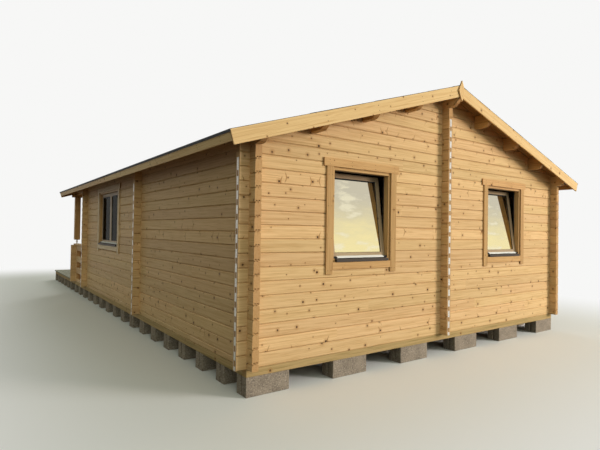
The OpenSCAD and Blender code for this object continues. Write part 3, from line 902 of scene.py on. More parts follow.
class CABIN_OT_long_walls(Operator):
    """Lays the logs of the two side walls and of the partition between the front rooms"""

    bl_idname = "cabin.long_walls"
    bl_label = "Long walls"

    def execute(self, context):
        joinery = context.scene.cabin_joinery
        hole = window_hole(joinery, Y_GABLE + joinery.side_y, joinery.side_w)
        reach = (Y_GABLE - LOG_END, Y_PORCH + THICK + LOG_END)
        short = (Y_GABLE - LOG_END, Y_CROSS + THICK + LOG_END)
        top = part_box("centre_partition")[1].z
        for node, ends, x, side, head, holes, seed in (
            ("left_wall", reach, -HALF_W, -1, Z_PLATE, [hole], 21),
            ("right_wall", reach, HALF_W, 1, Z_PLATE, [hole], 22),
            ("centre_partition", short, -THICK / 2, -1, top, [], 23),
        ):
            timber = Timber(seed)
            lay_logs(timber, levels(True, head), ends, Y, (x, side), holes)
            show(node + "_logs", timber.bm, "log", [node])
        return {"FINISHED"}


class CABIN_OT_rails(Operator):
    """Lays the spaced logs of the porch rails and the caps on them"""

    bl_idname = "cabin.rails"
    bl_label = "Porch rails"

    def side_rails(self):
        """Logs from the porch wall to the corner; every other one is only a stub at the corner."""
        timber = Timber(31)
        low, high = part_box("side_rails")
        for side in (-1, 1):
            for i, level in enumerate(levels(True, Z_RAIL)):
                start = Y_RAIL - LOG_END if i % 2 else low.y
                lay_logs(timber, [level], (start, high.y), Y, (side * HALF_W, side), lone=True)
        show("side_rail_logs", timber.bm, "log", ["side_rails"])

    def end_rails(self):
        """Logs from the gate to the corner; every other one is only a block at each end."""
        timber = Timber(32)
        reach = HALF_W + LOG_END
        for side in (-1, 1):
            for i, level in enumerate(levels(False, Z_RAIL)):
                spans = [(GATE_X, reach)]
                if i % 2:
                    spans = [(GATE_X, GATE_X + THICK), (HALF_W - THICK - LOG_END, reach)]
                for a, b in spans:
                    ends = (a, b) if side > 0 else (-b, -a)
                    lay_logs(timber, [level], ends, X, (Y_RAIL, -1), lone=True)
        show("end_rail_logs", timber.bm, "log", ["porch_rails"])

    def caps(self, edge):
        """Boards on the rails, which stand out past the logs on both sides."""
        timber = Timber(33)
        low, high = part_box("rail_caps")
        inward, outward = 0.012, 0.03
        front, back = Y_RAIL - inward, Y_RAIL + THICK + outward
        for side in (-1, 1):
            on_side = sorted((side * (HALF_W + outward), side * (HALF_W - THICK - inward)))
            on_end = sorted((side * high.x, side * GATE_X))
            for xs, y0, y1, along in (
                (on_side, low.y, front, Y),
                (on_end, front, back, X),
                (on_side, back, high.y, Y),
            ):
                timber.stick((xs[0], y0, Z_RAIL), (xs[1], y1, Z_CAP), along, edge)
        show("rail_cap_boards", timber.bm, "board", ["rail_caps"])

    def execute(self, context):
        self.side_rails()
        self.end_rails()
        self.caps(context.scene.cabin_boards.edge)
        return {"FINISHED"}


def roof_log_outline(bottom, top, radius):
    """Side view of a roof log with its lower corners rounded, as (along, up) pairs."""
    steps = 6
    front = []
    for i in range(steps + 1):
        turn = math.radians(90 * i / steps)
        y = -ROOF_Y + radius - radius * math.cos(turn)
        front.append((y, bottom + radius - radius * math.sin(turn)))
    back = [(-y, z) for y, z in reversed(front)]
    return [(-ROOF_Y, top), *front, *back, (ROOF_Y, top)]


class CABIN_OT_roof_logs(Operator):
    """Shapes the purlins and eave plates that carry the roof, with rounded lower ends"""

    bl_idname = "cabin.roof_logs"
    bl_label = "Purlins and eave plates"

    def roof_log(self, timber, x, bottom, slopes):
        """One log along the roof, cut to the slopes on the given sides and eased on its two faces."""
        slope = math.tan(bpy.context.scene.cabin_roof.pitch)
        outline = roof_log_outline(bottom, RIDGE_Z, bpy.context.scene.cabin_logs.end_r)
        start = Vector((x - THICK / 2, 0, 0))
        verts = sweep(timber.bm, outline, start, Y, Z, X, THICK)
        for side in slopes:
            verts = cut_off(timber.bm, verts, (0, 0, under_roof(0)), (side * slope, 0, 1))
        sides = {f for v in verts for f in v.link_faces if abs(f.normal.x) > 0.9}
        verts = ease(timber.bm, list({e for f in sides for e in f.edges}), EASED, 1)
        # Their sawn ends are painted darker than other end grain, as the shade under the bargeboards.
        timber.mark(verts, Vector((x, 0, bottom)), X, Z, Y, sawn=1.3)

    def execute(self, context):
        logs = context.scene.cabin_logs
        over_wall = HALF_W - THICK / 2
        timber = Timber(41)
        self.roof_log(timber, 0.0, under_roof(0) - logs.ridge_h, (-1, 1))
        show("ridge_purlin_log", timber.bm, "log", ["ridge_purlin"])
        timber = Timber(42)
        for i in (-3, -2, -1, 1, 2, 3):
            x = i * (over_wall / 4)
            self.roof_log(timber, x, under_roof(x) - logs.purlin_h, (1 if i > 0 else -1,))
        show("side_purlin_logs", timber.bm, "log", ["side_purlins"], "structural")
        timber = Timber(43)
        for side in (-1, 1):
            self.roof_log(timber, side * over_wall, Z_PLATE, (side,))
        show("eave_plate_logs", timber.bm, "log", ["eave_plates"])
        return {"FINISHED"}


def slope_frame(side, pitch):
    """Turns a piece drawn flat, x outward down the slope and z up from the roof boards, onto one slope."""
    tip = Matrix.Rotation(pitch, 4, "Y")
    turn = Matrix.Identity(4) if side > 0 else Matrix.Rotation(math.pi, 4, "Z")
    return Matrix.Translation((0, 0, RIDGE_Z)) @ turn @ tip


class CABIN_OT_roof_cover(Operator):
    """Lays the roof boards and the strips of felt on them"""

    bl_idname = "cabin.roof_cover"
    bl_label = "Roof boards and felt"

    def boards(self, side, node, seed):
        """Boards from the ridge to the eave, a hair apart from each other and below the felt."""
        roof = bpy.context.scene.cabin_roof
        timber = Timber(seed)
        place = slope_frame(side, roof.pitch)
        run = BOARD_X / math.cos(roof.pitch)
        from_ridge, gap, edge = 0.006, 0.0004, 0.0035
        count = round(2 * ROOF_Y / roof.board_w)
        width = 2 * ROOF_Y / count
        for i in range(count):
            low = (from_ridge, -ROOF_Y + i * width + gap, -roof.board_t)
            high = (run, -ROOF_Y + (i + 1) * width - gap, -FELT_BED)
            timber.stick(low, high, X, edge, place=place)
        show(node + "_single", timber.bm, "roof_board", [node])

    def felt(self, bm, side, roof):
        """Strips of felt from the eave up, each lapping over the one below, under a ridge strip."""
        thin, edge = roof.felt_t, 0.0008
        past_eave, ridge_strip = 0.003, 0.16
        place = slope_frame(side, roof.pitch)
        run = (EAVE_X + past_eave) / math.cos(roof.pitch)
        low_edge = run
        while low_edge > 0:
            high_edge = max(low_edge - roof.felt_w, 0.0)
            tip = math.atan2(thin, roof.felt_w) if low_edge < run else 0.0
            strip = place @ Matrix.Translation((high_edge, 0, FELT_BED)) @ Matrix.Rotation(-tip, 4, "Y")
            eased_box(bm, (0, -ROOF_END, 0), (low_edge - high_edge, ROOF_END, thin), edge, place=strip)
            low_edge = high_edge + roof.lap if high_edge > 0 else 0.0
        ridge = place @ Matrix.Translation((0, 0, thin + 0.0006))
        eased_box(bm, (-0.001, -ROOF_END, 0), (ridge_strip, ROOF_END, thin), edge, place=ridge)
        # The edge turned down over the fascia.
        low, high = (run - 0.0004, -ROOF_END, -roof.lip), (run + 0.0022, ROOF_END, thin)
        eased_box(bm, low, high, 0.0006, place=place)

    def execute(self, context):
        self.boards(-1, "left_roof_boards", 51)
        self.boards(1, "right_roof_boards", 52)
        bm = bmesh.new()
        for side in (-1, 1):
            self.felt(bm, side, context.scene.cabin_roof)
        show("felt_strips", bm, "felt", ["roof_felt"])
        return {"FINISHED"}


def nail(bm, at, normal, radius):
    """A nail or screw head, a low cone half sunk in its board."""
    turn = Vector(normal).to_track_quat("Z", "Y").to_matrix().to_4x4()
    bmesh.ops.create_cone(
        bm,
        cap_ends=True,
        segments=8,
        radius1=radius,
        radius2=0.55 * radius,
        depth=0.0016,
        matrix=Matrix.Translation(at) @ turn,
    )


def deck_screws(bm, xs, ys, z):
    """Screws in a deck, at each of some places across it and along it."""
    radius = 0.0045
    for x in xs:
        for y in ys:
            nail(bm, (x, y, z), (0, 0, 1), radius)


class CABIN_OT_edge_boards(Operator):
    """Shapes the bargeboards, the lozenges over their joints and the eave fascias"""

    bl_idname = "cabin.edge_boards"
    bl_label = "Bargeboards and fascias"

    def bargeboards(self, node, outer, sign, seed, thick, heads):
        """Two boards that meet in an upright joint at the ridge, nailed near the ends of the purlins."""
        roof, boards = bpy.context.scene.cabin_roof, bpy.context.scene.cabin_boards
        timber = Timber(seed)
        run = EAVE_X / math.cos(roof.pitch)
        pace = (HALF_W - THICK / 2) / 4 / math.cos(roof.pitch)
        ys = sorted((outer, outer - sign * thick))
        past_ridge = 0.2
        nailed = (0.22, 1.06 * pace, 2.06 * pace, 3.06 * pace)
        for side in (-1, 1):
            place = slope_frame(side, roof.pitch)
            low, high = (-past_ridge, ys[0], -roof.barge_h), (run, ys[1], 0)
            verts = timber.stick(low, high, X, boards.edge, 2, place)
            cut_off(timber.bm, verts, (0, 0, 0), (-side, 0, 0))
            for x in nailed:
                for z in (-0.045, -0.1):
                    nail(heads, place @ Vector((x, outer, z)), (0, sign, 0), boards.nail_r)
        show(node + "_planed", timber.bm, "board", [node])

    def lozenges(self, thick, heads):
        """The pointed plates over the joints of the bargeboards."""
        timber = Timber(63)
        low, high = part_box("apex_plates")
        middle, half_w, half_h = (low.z + high.z) / 2, high.x, (high.z - low.z) / 2
        outline = [(0, -half_h), (half_w, 0), (0, half_h), (-half_w, 0)]
        for y, sign in ((low.y, -1), (ROOF_END, 1)):
            start = Vector((0, y, middle))
            verts = sweep(timber.bm, outline, start, X, Z, Y, thick)
            timber.mark(ease(timber.bm, edges_of(verts), EASED, 2), start, Y, X, Z)
            face = y if sign < 0 else y + thick
            for z in (-0.06, 0.045):
                nail(heads, (0, face, middle + z), (0, sign, 0), bpy.context.scene.cabin_boards.nail_r)
        show("apex_lozenges", timber.bm, "board", ["apex_plates"])

    def fascias(self, thick, heads):
        """Boards nailed to the ends of the roof boards, so they lean with them; each side has one joint."""
        roof, boards = bpy.context.scene.cabin_roof, bpy.context.scene.cabin_boards
        timber = Timber(64)
        low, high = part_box("eave_fascias")
        inner = BOARD_X / math.cos(roof.pitch)
        outer, gap = inner + thick, 0.0007
        nails, first, pace = 18, 0.12, 0.51
        for side in (-1, 1):
            place = slope_frame(side, roof.pitch)
            outward = place.to_3x3() @ X
            seam = timber.draw.uniform(-1.2, 1.2)
            for a, b in ((low.y, seam - gap), (seam + gap, high.y)):
                timber.stick((inner, a, -roof.fascia_h), (outer, b, 0), Y, boards.edge, 2, place)
            for i in range(nails):
                for z in (-0.035, 0.03 - roof.fascia_h):
                    at = place @ Vector((outer, low.y + first + i * pace, z))
                    nail(heads, at, outward, boards.nail_r)
        show("eave_fascia_boards", timber.bm, "board", ["eave_fascias"])

    def execute(self, context):
        thick = EAVE_X - BOARD_X
        heads = bmesh.new()
        self.bargeboards("front_bargeboards", -ROOF_END, -1, 61, thick, heads)
        self.bargeboards("rear_bargeboards", ROOF_END, 1, 62, thick, heads)
        self.lozenges(thick, heads)
        self.fascias(thick, heads)
        show("edge_board_nails", heads, "galvanised", finish="nail")
        return {"FINISHED"}


class CABIN_OT_footings(Operator):
    """Casts the concrete blocks, with worn edges and a groove in each end"""

    bl_idname = "cabin.footings"
    bl_label = "Concrete blocks"

    def cast(self, bm, low, high, boards, draw):
        """One block, long along X."""
        verts = plain_box(bm, low, high)
        centre = (low.y + high.y) / 2
        for y in (centre - boards.groove / 2, centre + boards.groove / 2):
            bmesh.ops.bisect_plane(bm, geom=geometry(verts), plane_co=(0, y, 0), plane_no=(0, 1, 0))
            verts = island(verts[0])
        ends = {
            f
            for v in verts
            for f in v.link_faces
            if abs(f.normal.x) > 0.9 and abs(f.calc_center_median().y - centre) < 0.001
        }
        groove_depth = 0.018
        for f in ends:
            inward = -f.normal.copy()
            made = bmesh.ops.extrude_discrete_faces(bm, faces=[f])["faces"][0]
            bmesh.ops.translate(bm, verts=made.verts[:], vec=inward * groove_depth)
        sharp = [e for e in edges_of(island(verts[0])) if e.calc_face_angle(0) > 0.6]
        verts = ease(bm, sharp, boards.chip, 2)
        # The top and bottom stay flat. Sorted by place, so that each corner gets the same draw in every run.
        flat, wear = 0.001, 0.0012
        for v in sorted(verts, key=lambda v: tuple(round(k, 5) for k in v.co)):
            if low.z + flat < v.co.z < high.z - flat:
                v.co += Vector([draw.uniform(-wear, wear) for _ in range(3)])

    def execute(self, context):
        boards = context.scene.cabin_boards
        rows = ("front_footings", "rear_footings", "side_footings", "middle_footings", "terrace_footings")
        for seed, node in enumerate(rows, 70):
            bm, draw = bmesh.new(), random.Random(seed)
            for low, high in solid_boxes(node):
                self.cast(bm, low, high, boards, draw)
            show(node + "_cast", bm, "concrete", [node])
        return {"FINISHED"}


class CABIN_OT_floors(Operator):
    """Lays the base beams, joists, room floors and porch deck"""

    bl_idname = "cabin.floors"
    bl_label = "Base beams and floors"

    def beams(self, edge):
        """A ring of beams under the outer walls and the porch rail, and one under each wall between."""
        timber = Timber(81)
        inside = HALF_W - THICK
        for x0, x1, y0, y1, along in (
            (-HALF_W, HALF_W, Y_GABLE, Y_GABLE + THICK, X),
            (-HALF_W, HALF_W, Y_RAIL, Y_RAIL + THICK, X),
            (-HALF_W, -inside, Y_GABLE + THICK, Y_RAIL, Y),
            (inside, HALF_W, Y_GABLE + THICK, Y_RAIL, Y),
            (-inside, inside, Y_CROSS, Y_CROSS + THICK, X),
            (-inside, inside, Y_PORCH, Y_PORCH + THICK, X),
            (-THICK / 2, THICK / 2, Y_GABLE + THICK, Y_CROSS, Y),
        ):
            timber.stick((x0, y0, BLOCK_Z), (x1, y1, BASE_Z), along, edge)
        show("base_beam_timbers", timber.bm, "treated_timber", ["base_beams"])

    def joists(self, edge):
        """One timber for each solid joist."""
        timber = Timber(82)
        for low, high in solid_boxes("floor_joists"):
            timber.stick(low, high, X if high.x - low.x > high.y - low.y else Y, edge)
        show("joist_timbers", timber.bm, "treated_timber", ["floor_joists"])

    def room_floor(self, boards):
        """Boards along each of the three rooms, the last one cut to the wall."""
        timber = Timber(83)
        inside, gap, edge = HALF_W - THICK, 0.0003, 0.0015
        for x0, x1, y0, y1 in (
            (-inside, -THICK / 2, Y_GABLE + THICK, Y_CROSS),
            (THICK / 2, inside, Y_GABLE + THICK, Y_CROSS),
            (-inside, inside, Y_CROSS + THICK, Y_PORCH),
        ):
            for i in range(math.ceil((x1 - x0) / boards.floor_w)):
                a, b = x0 + i * boards.floor_w, min(x0 + (i + 1) * boards.floor_w, x1)
                timber.stick((a + gap, y0, BASE_Z), (b - gap, y1, FLOOR_Z), Y, edge)
        show("room_floor_boards", timber.bm, "board", ["room_floors"])

    def deck(self, boards):
        """Boards across the porch, each with two screws in every joist."""
        timber, screws = Timber(84), bmesh.new()
        low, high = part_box("porch_deck")
        width = boards.deck_w
        pitch = width + boards.deck_gap
        joist_pace = 0.61
        xs = [j * joist_pace for j in range(-4, 5)]
        for i in range(round((high.y - low.y + boards.deck_gap) / pitch)):
            y = low.y + i * pitch
            timber.stick((low.x, y, low.z), (high.x, y + width, high.z), X, DECK_EDGE, 2)
            deck_screws(screws, xs, (y + 0.2 * width, y + 0.8 * width), high.z)
        show("porch_deck_boards", timber.bm, "board", ["porch_deck"])
        show("porch_deck_screws", screws, "galvanised")

    def execute(self, context):
        boards = context.scene.cabin_boards
        self.beams(boards.edge)
        self.joists(boards.edge)
        self.room_floor(boards)
        self.deck(boards)
        return {"FINISHED"}


class CABIN_OT_terrace(Operator):
    """Lays the edge beams, joists and boards of the open terrace"""

    bl_idname = "cabin.terrace"
    bl_label = "Terrace"

    def timbers(self, rows, boards):
        """Edge beams on three sides, and joists against the porch and over the rows of blocks."""
        low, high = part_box("terrace_frame")
        inner, joist = HALF_W - THICK, boards.joist_t
        timber = Timber(86)
        for x in (-HALF_W, inner):
            timber.stick((x, low.y, BLOCK_Z), (x + THICK, high.y, BASE_Z), Y, boards.edge)
        # The last row of blocks is under the end beam, and the others have a joist over their middle.
        crossing = [(high.y - THICK, high.y), (low.y, low.y + joist)]
        crossing += [((a + b - joist) / 2, (a + b + joist) / 2) for a, b in rows[:-1]]
        for y0, y1 in crossing:
            timber.stick((-inner, y0, BLOCK_Z), (inner, y1, BASE_Z), X, boards.edge)
        show("terrace_timbers", timber.bm, "treated_timber", ["terrace_frame"])

    def execute(self, context):
        rows = sorted({(round(a.y, 4), round(b.y, 4)) for a, b in solid_boxes("terrace_footings")})
        self.timbers(rows, context.scene.cabin_boards)
        timber, screws = Timber(87), bmesh.new()
        for low, high in solid_boxes("terrace_deck"):
            timber.stick(low, high, Y, DECK_EDGE, 2)
            xs = [low.x + k * (high.x - low.x) for k in (0.2, 0.8)]
            deck_screws(screws, xs, [(a + b) / 2 for a, b in rows], high.z)
        show("terrace_boards", timber.bm, "decking", ["terrace_deck"])
        show("terrace_screws", screws, "galvanised")
        return {"FINISHED"}


class CABIN_OT_posts(Operator):
    """Shapes the porch posts, and thin dark strips behind the storm straps that paint the shade in their
    slots
    """

    bl_idname = "cabin.posts"
    bl_label = "Posts"

    def slot_shadow_strips(self):
        """One dark strip between each strap and the log ends behind it: painted shade, seen through the
        strap's slots.
        """
        slot_shadow = Timber(93)
        inset, thin = 0.002, 0.0008
        for low, high in solid_boxes("storm_straps"):
            if high.x - low.x < high.y - low.y:
                wall = high.x if low.x < 0 else low.x
                xs = sorted((wall, wall + math.copysign(thin, low.x)))
                ys = (low.y + inset, high.y - inset)
            else:
                xs = (low.x + inset, high.x - inset)
                ys = (high.y - thin, high.y)
            slot_shadow.stick((xs[0], ys[0], low.z), (xs[1], ys[1], high.z), Z, 0)
        show("strap_slot_shadow_strips", slot_shadow.bm, "roof_board")

    def execute(self, context):
        for node, edge, seed in (("corner_posts", 0.005, 91), ("entry_posts", 0.004, 92)):
            timber = Timber(seed)
            low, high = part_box(node)
            width = high.x - GATE_X + THICK if node == "entry_posts" else high.y - low.y
            for side in (-1, 1):
                xs = sorted((side * high.x, side * (high.x - width)))
                timber.stick((xs[0], low.y, low.z), (xs[1], high.y, high.z), Z, edge, 2)
            show(node + "_planed", timber.bm, "board", [node], "structural")
        self.slot_shadow_strips()
        refinish(("post_feet", "storm_straps"), "galvanised")
        return {"FINISHED"}


def window_places(joinery):
    """Each window's kind, width, number of lights and place.

    In its own frame x runs across, y inward from the wall's face and z up from the hole.
    """
    z = BASE_Z + joinery.sill_z
    places = []
    for kind, y, turn in (("tilted", Y_GABLE, 0.0), ("porch", Y_PORCH + THICK, math.pi)):
        for x in (-joinery.win_x, joinery.win_x):
            place = Matrix.Translation((x, y, z)) @ Matrix.Rotation(turn, 4, "Z")
            places.append((kind, joinery.win_w, 1, place))
    for side in (-1, 1):
        at = Matrix.Translation((side * HALF_W, Y_GABLE + joinery.side_y, z))
        place = at @ Matrix.Rotation(side * math.pi / 2, 4, "Z")
        places.append(("side", joinery.side_w, 2, place))
    return places


def four_bars(low, high, width):
    """Corners and grain of four bars round a hole: two standing, and two between them."""
    (x0, y0, z0), (x1, y1, z1) = low, high
    return (
        ((x0, y0, z0), (x0 + width, y1, z1), Z),
        ((x1 - width, y0, z0), (x1, y1, z1), Z),
        ((x0 + width, y0, z0), (x1 - width, y1, z0 + width), X),
        ((x0 + width, y0, z1 - width), (x1 - width, y1, z1), X),
    )


def bars(timber, low, high, width, edge, place):
    """Four wooden bars round a hole."""
    for a, b, along in four_bars(low, high, width):
        timber.stick(a, b, along, edge, 2, place)


def strips(bm, low, high, width, place):
    """Four plain strips round a hole, for seals and spacers."""
    edge = 0.0006
    for a, b, _ in four_bars(low, high, width):
        eased_box(bm, a, b, edge, place=place)


class CABIN_OT_windows(Operator):
    """Builds the window frames, sashes, insulating panes, seals, sills and weather rails"""

    bl_idname = "cabin.windows"
    bl_label = "Windows"

    def sash_place(self, joinery, kind, place):
        """Where a sash stands in its frame; an open one leans into the room about its inner bottom edge."""
        if kind != "tilted":
            return place @ Matrix.Translation((0, joinery.sash_y, joinery.frame_b))
        hinge = Matrix.Translation((0, joinery.sash_y + joinery.sash_t, joinery.frame_b))
        lean = Matrix.Rotation(-joinery.tilt, 4, "X")
        return place @ hinge @ lean @ Matrix.Translation((0, -joinery.sash_t, 0))

    def sill_caps_and_shade(self, bm, joinery, half, place):
        """Black caps on the ends of a sill, and black pieces that paint shade: blocks in the corners by the
        weather rail and a strip at its foot.
        """
        hair, lip, cap, drop = 0.001, 0.008, 0.003, 0.0115
        from_hole, from_cap, block_h = 0.062, 0.01, 0.018
        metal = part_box("window_sills")
        front = metal[0].y - Y_GABLE + hair
        foot = metal[1].z - 0.002 - BASE_Z - joinery.sill_z
        end = half - from_hole
        outline = [(0.0, foot), (0.0, lip), (front, lip), (front, foot - drop)]
        turn = place.to_3x3()
        for x in (-end, end - cap):
            sweep(bm, outline, place @ Vector((x, 0, 0)), turn @ Y, Z, turn @ X, cap)
        # The black blocks fill the corners between the weather rail and the frame, as painted shade.
        inner = half - joinery.frame_b
        rail = inner - joinery.sash_gap - joinery.sash_b
        top = joinery.frame_b + 0.0022
        for a, b in ((-inner + hair, -rail - hair), (rail + hair, inner - hair)):
            eased_box(bm, (a, 0.012, top), (b, joinery.sash_y - 0.002, top + block_h), hair, place=place)
        # The black strip at the rail's foot runs from cap to cap, as painted shade under the rail.
        low, high = (from_cap - end, -0.004, foot - 0.002), (end - from_cap, 0.0095, foot + 0.0035)
        eased_box(bm, low, high, hair, place=place)

    def glaze(self, joinery, x0, x1, tall, meshes, at):
        """One light: its sash bars, two panes with a spacer between them, and its seals."""
        sashes, panes, seals, spacers = meshes
        thick = joinery.sash_t
        bars(sashes, (x0, 0, 0), (x1, thick, tall), joinery.sash_b, EASED, at)
        a, b = x0 + joinery.sash_b, x1 - joinery.sash_b
        c, d = joinery.sash_b, tall - joinery.sash_b
        seal, pane, hair = 0.004, 0.004, 0.001
        # How far a pane is set in from the sash's face, and how wide the spacer is.
        inset, spacer = 0.0115, 0.009
        # Seals 4 mm deep before the outer pane and behind the inner one.
        for y0, y1 in ((0.007, 0.011), (thick - 0.007, thick - 0.003)):
            strips(seals, (a, y0, c), (b, y1, d), seal, at)
        # A black seal strip under the top bar, made taller than the seals round it to paint the shade and
        # its reflection seen as the black line above the glass.
        eased_box(seals, (a + seal, 0.004, d - 0.014), (b - seal, 0.0112, d - seal), hair, place=at)
        for y in (inset, thick - inset - pane):
            eased_box(panes, (a, y, c), (b, y + pane, d), 0.0004, place=at)
        y = inset + pane + 0.0001
        strips(spacers, (a + hair, y, c + hair), (b - hair, thick - y, d - hair), spacer, at)

    def execute(self, context):
        joinery = context.scene.cabin_joinery
        frames = {"gable": Timber(101), "side": Timber(102)}
        sashes = {"tilted": Timber(103), "closed": Timber(104)}
        panes = {"tilted": bmesh.new(), "closed": bmesh.new()}
        seals, spacers, caps = bmesh.new(), bmesh.new(), bmesh.new()
        bar, tall = joinery.frame_b, joinery.win_h
        for kind, width, lights, place in window_places(joinery):
            timber = frames["side" if kind == "side" else "gable"]
            state = "tilted" if kind == "tilted" else "closed"
            half = width / 2
            bars(timber, (-half, 0, 0), (half, THICK, tall), bar, 0.0025, place)
            at = self.sash_place(joinery, kind, place)
            inner = half - bar
            room = inner - joinery.sash_gap
            light = 2 * room / lights
            # Two lights beside each other stand 1 mm apart.
            between = 0.001 if lights > 1 else 0.0
            for i in range(lights):
                x0 = light * i - room
                meshes = (sashes[state], panes[state], seals, spacers)
                self.glaze(joinery, x0, x0 + light - between, tall - 2 * bar - joinery.sash_gap, meshes, at)
            self.sill_caps_and_shade(caps, joinery, half, place)
            # Seal round the sash, seen as the dark line between it and the frame.
            depth = joinery.sash_y + joinery.sash_t
            strips(seals, (-inner, depth - 0.008, bar), (inner, depth, tall - bar), 0.0028, place)
        show("sill_caps_and_shade_pieces", caps, "rubber_seal")
        show("gable_window_frames", frames["gable"].bm, "joinery", ["window_frames"])
        show("side_window_frame_bars", frames["side"].bm, "joinery", ["side_window_frames"])
        show("tilted_sash_bars", sashes["tilted"].bm, "joinery", ["tilted_sashes"], "sash")
        show("closed_sash_bars", sashes["closed"].bm, "joinery", ["closed_sashes"], "sash")
        show("tilted_glass_units", panes["tilted"], "glass", ["tilted_panes"], "mirror_glass")
        show("closed_glass_units", panes["closed"], "glass", ["closed_panes"])
        show("window_seals", seals, "rubber_seal")
        show("glass_spacers", spacers, "sill_metal")
        refinish(("window_sills",), "sill_metal")
        refinish(("drip_rails",), "drip_white")
        return {"FINISHED"}


class CABIN_OT_casings(Operator):
    """Nails the casing boards round the windows"""

    bl_idname = "cabin.casings"
    bl_label = "Casings"

    def execute(self, context):
        joinery, boards = context.scene.cabin_joinery, context.scene.cabin_boards
        groups = {"window_casings": Timber(111), "side_casings": Timber(112)}
        heads = bmesh.new()
        wide, thick, tall = joinery.casing_w, 0.02, joinery.win_h
        # The casings lap the frame, the head stands out past them and the side boards hang below the sill.
        lap, ear, hang = 0.015, 0.04, 0.12
        gap, head = 0.0003, tall - 0.01
        for kind, width, _, place in window_places(joinery):
            timber = groups["side_casings" if kind == "side" else "window_casings"]
            o = width / 2 + wide - lap
            inner = o - wide - 0.0004
            for low, high, along in (
                ((-o, -thick, -hang), (wide - o, 0, head - gap), Z),
                ((o - wide, -thick, -hang), (o, 0, head - gap), Z),
                ((-o - ear, -thick, head), (o + ear, 0, tall + 0.078), X),
                ((-inner, -thick, -0.075), (inner, 0, 0.005), X),
            ):
                # The standing boards are the darker ones.
                shades = (0.1, 0.4) if along is Z else (0.8, 1.0)
                timber.stick(low, high, along, boards.edge, 2, place, timber.draw.uniform(*shades))
            normal = place.to_3x3() @ Vector((0, -1, 0))
            for side in (-1, 1):
                spots = [(o - wide / 2 + t, z) for t in (-0.022, 0.022) for z in (-0.08, 0.26, 0.6, 0.93)]
                spots += [((o - 0.02) * k, tall + t) for k in (0.35, 0.97) for t in (0.012, 0.056)]
                for x, z in spots:
                    nail(heads, place @ Vector((side * x, -thick, z)), normal, boards.nail_r)
        show("window_casings_planed", groups["window_casings"].bm, "board", ["window_casings"], "casing")
        show("side_casings_planed", groups["side_casings"].bm, "board", ["side_casings"], "sheen_painted_casing")
        show("casing_nails", heads, "galvanised", finish="nail")
        return {"FINISHED"}


class CABIN_OT_door(Operator):
    """Builds the entrance door with its frame, glazing and handles"""

    bl_idname = "cabin.door"
    bl_label = "Entrance door"

    def frame_bars(self, bar):
        """Two posts, a head and a threshold."""
        low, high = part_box("door_frame")
        timber = Timber(121)
        for (x0, x1), (z0, z1), along in (
            ((low.x, low.x + bar), (low.z, high.z), Z),
            ((high.x - bar, high.x), (low.z, high.z), Z),
            ((low.x + bar, high.x - bar), (high.z - bar, high.z), X),
            ((low.x + bar, high.x - bar), (low.z, FLOOR_Z + 0.012), X),
        ):
            timber.stick((x0, low.y, z0), (x1, high.y, z1), along, EASED, 2)
        show("door_frame_bars", timber.bm, "joinery", ["door_frame"])

    def leaf(self, glass_low, glass_high):
        """Two stiles, three rails and a panel of planks below the glass; returns its front and back."""
        low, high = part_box("door_leaf")
        stile = glass_low.x - low.x
        inner = (low.x + stile, high.x - stile)
        foot, lock = low.z + 0.16, glass_low.z - 0.11
        timber = Timber(122)
        for (x0, x1), (z0, z1), along in (
            ((low.x, low.x + stile), (low.z, high.z), Z),
            ((high.x - stile, high.x), (low.z, high.z), Z),
            (inner, (low.z, foot), X),
            (inner, (lock, glass_low.z), X),
            (inner, (glass_high.z, high.z), X),
        ):
            timber.stick((x0, low.y, z0), (x1, high.y, z1), along, EASED, 2)
        planks, inset = 7, 0.012
        pitch = (inner[1] - inner[0]) / planks
        for i in range(planks):
            x = inner[0] + i * pitch
            timber.stick((x, low.y + inset, foot), (x + pitch, high.y - inset, lock), Z, 0.004)
        show("door_leaf_planks", timber.bm, "joinery", ["door_leaf"])
        return low.y, high.y

    def execute(self, context):
        glass_low, glass_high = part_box("door_pane")
        self.frame_bars(context.scene.cabin_joinery.frame_b)
        front, back = self.leaf(glass_low, glass_high)
        glass, seals = bmesh.new(), bmesh.new()
        eased_box(glass, glass_low, glass_high, 0.0005)
        show("door_glass", glass, "glass", ["door_pane"])
        for y0, y1 in ((front + 0.006, glass_low.y), (glass_high.y, back - 0.006)):
            low, high = (glass_low.x, y0, glass_low.z), (glass_high.x, y1, glass_high.z)
            strips(seals, low, high, 0.008, Matrix.Identity(4))
        show("door_glazing_seals", seals, "rubber_seal")
        refinish(("door_handles",), "galvanised")
        return {"FINISHED"}


def shown_rays(tree):
    """1 for the rays that show a thing to the eye: seen by the camera, mirrored, or seen through glass."""
    path = add(tree, "LightPath").outputs
    shown = math_node(tree, "MAXIMUM", path["Is Camera Ray"], path["Is Glossy Ray"])
    return math_node(tree, "MAXIMUM", shown, path["Is Transmission Ray"])


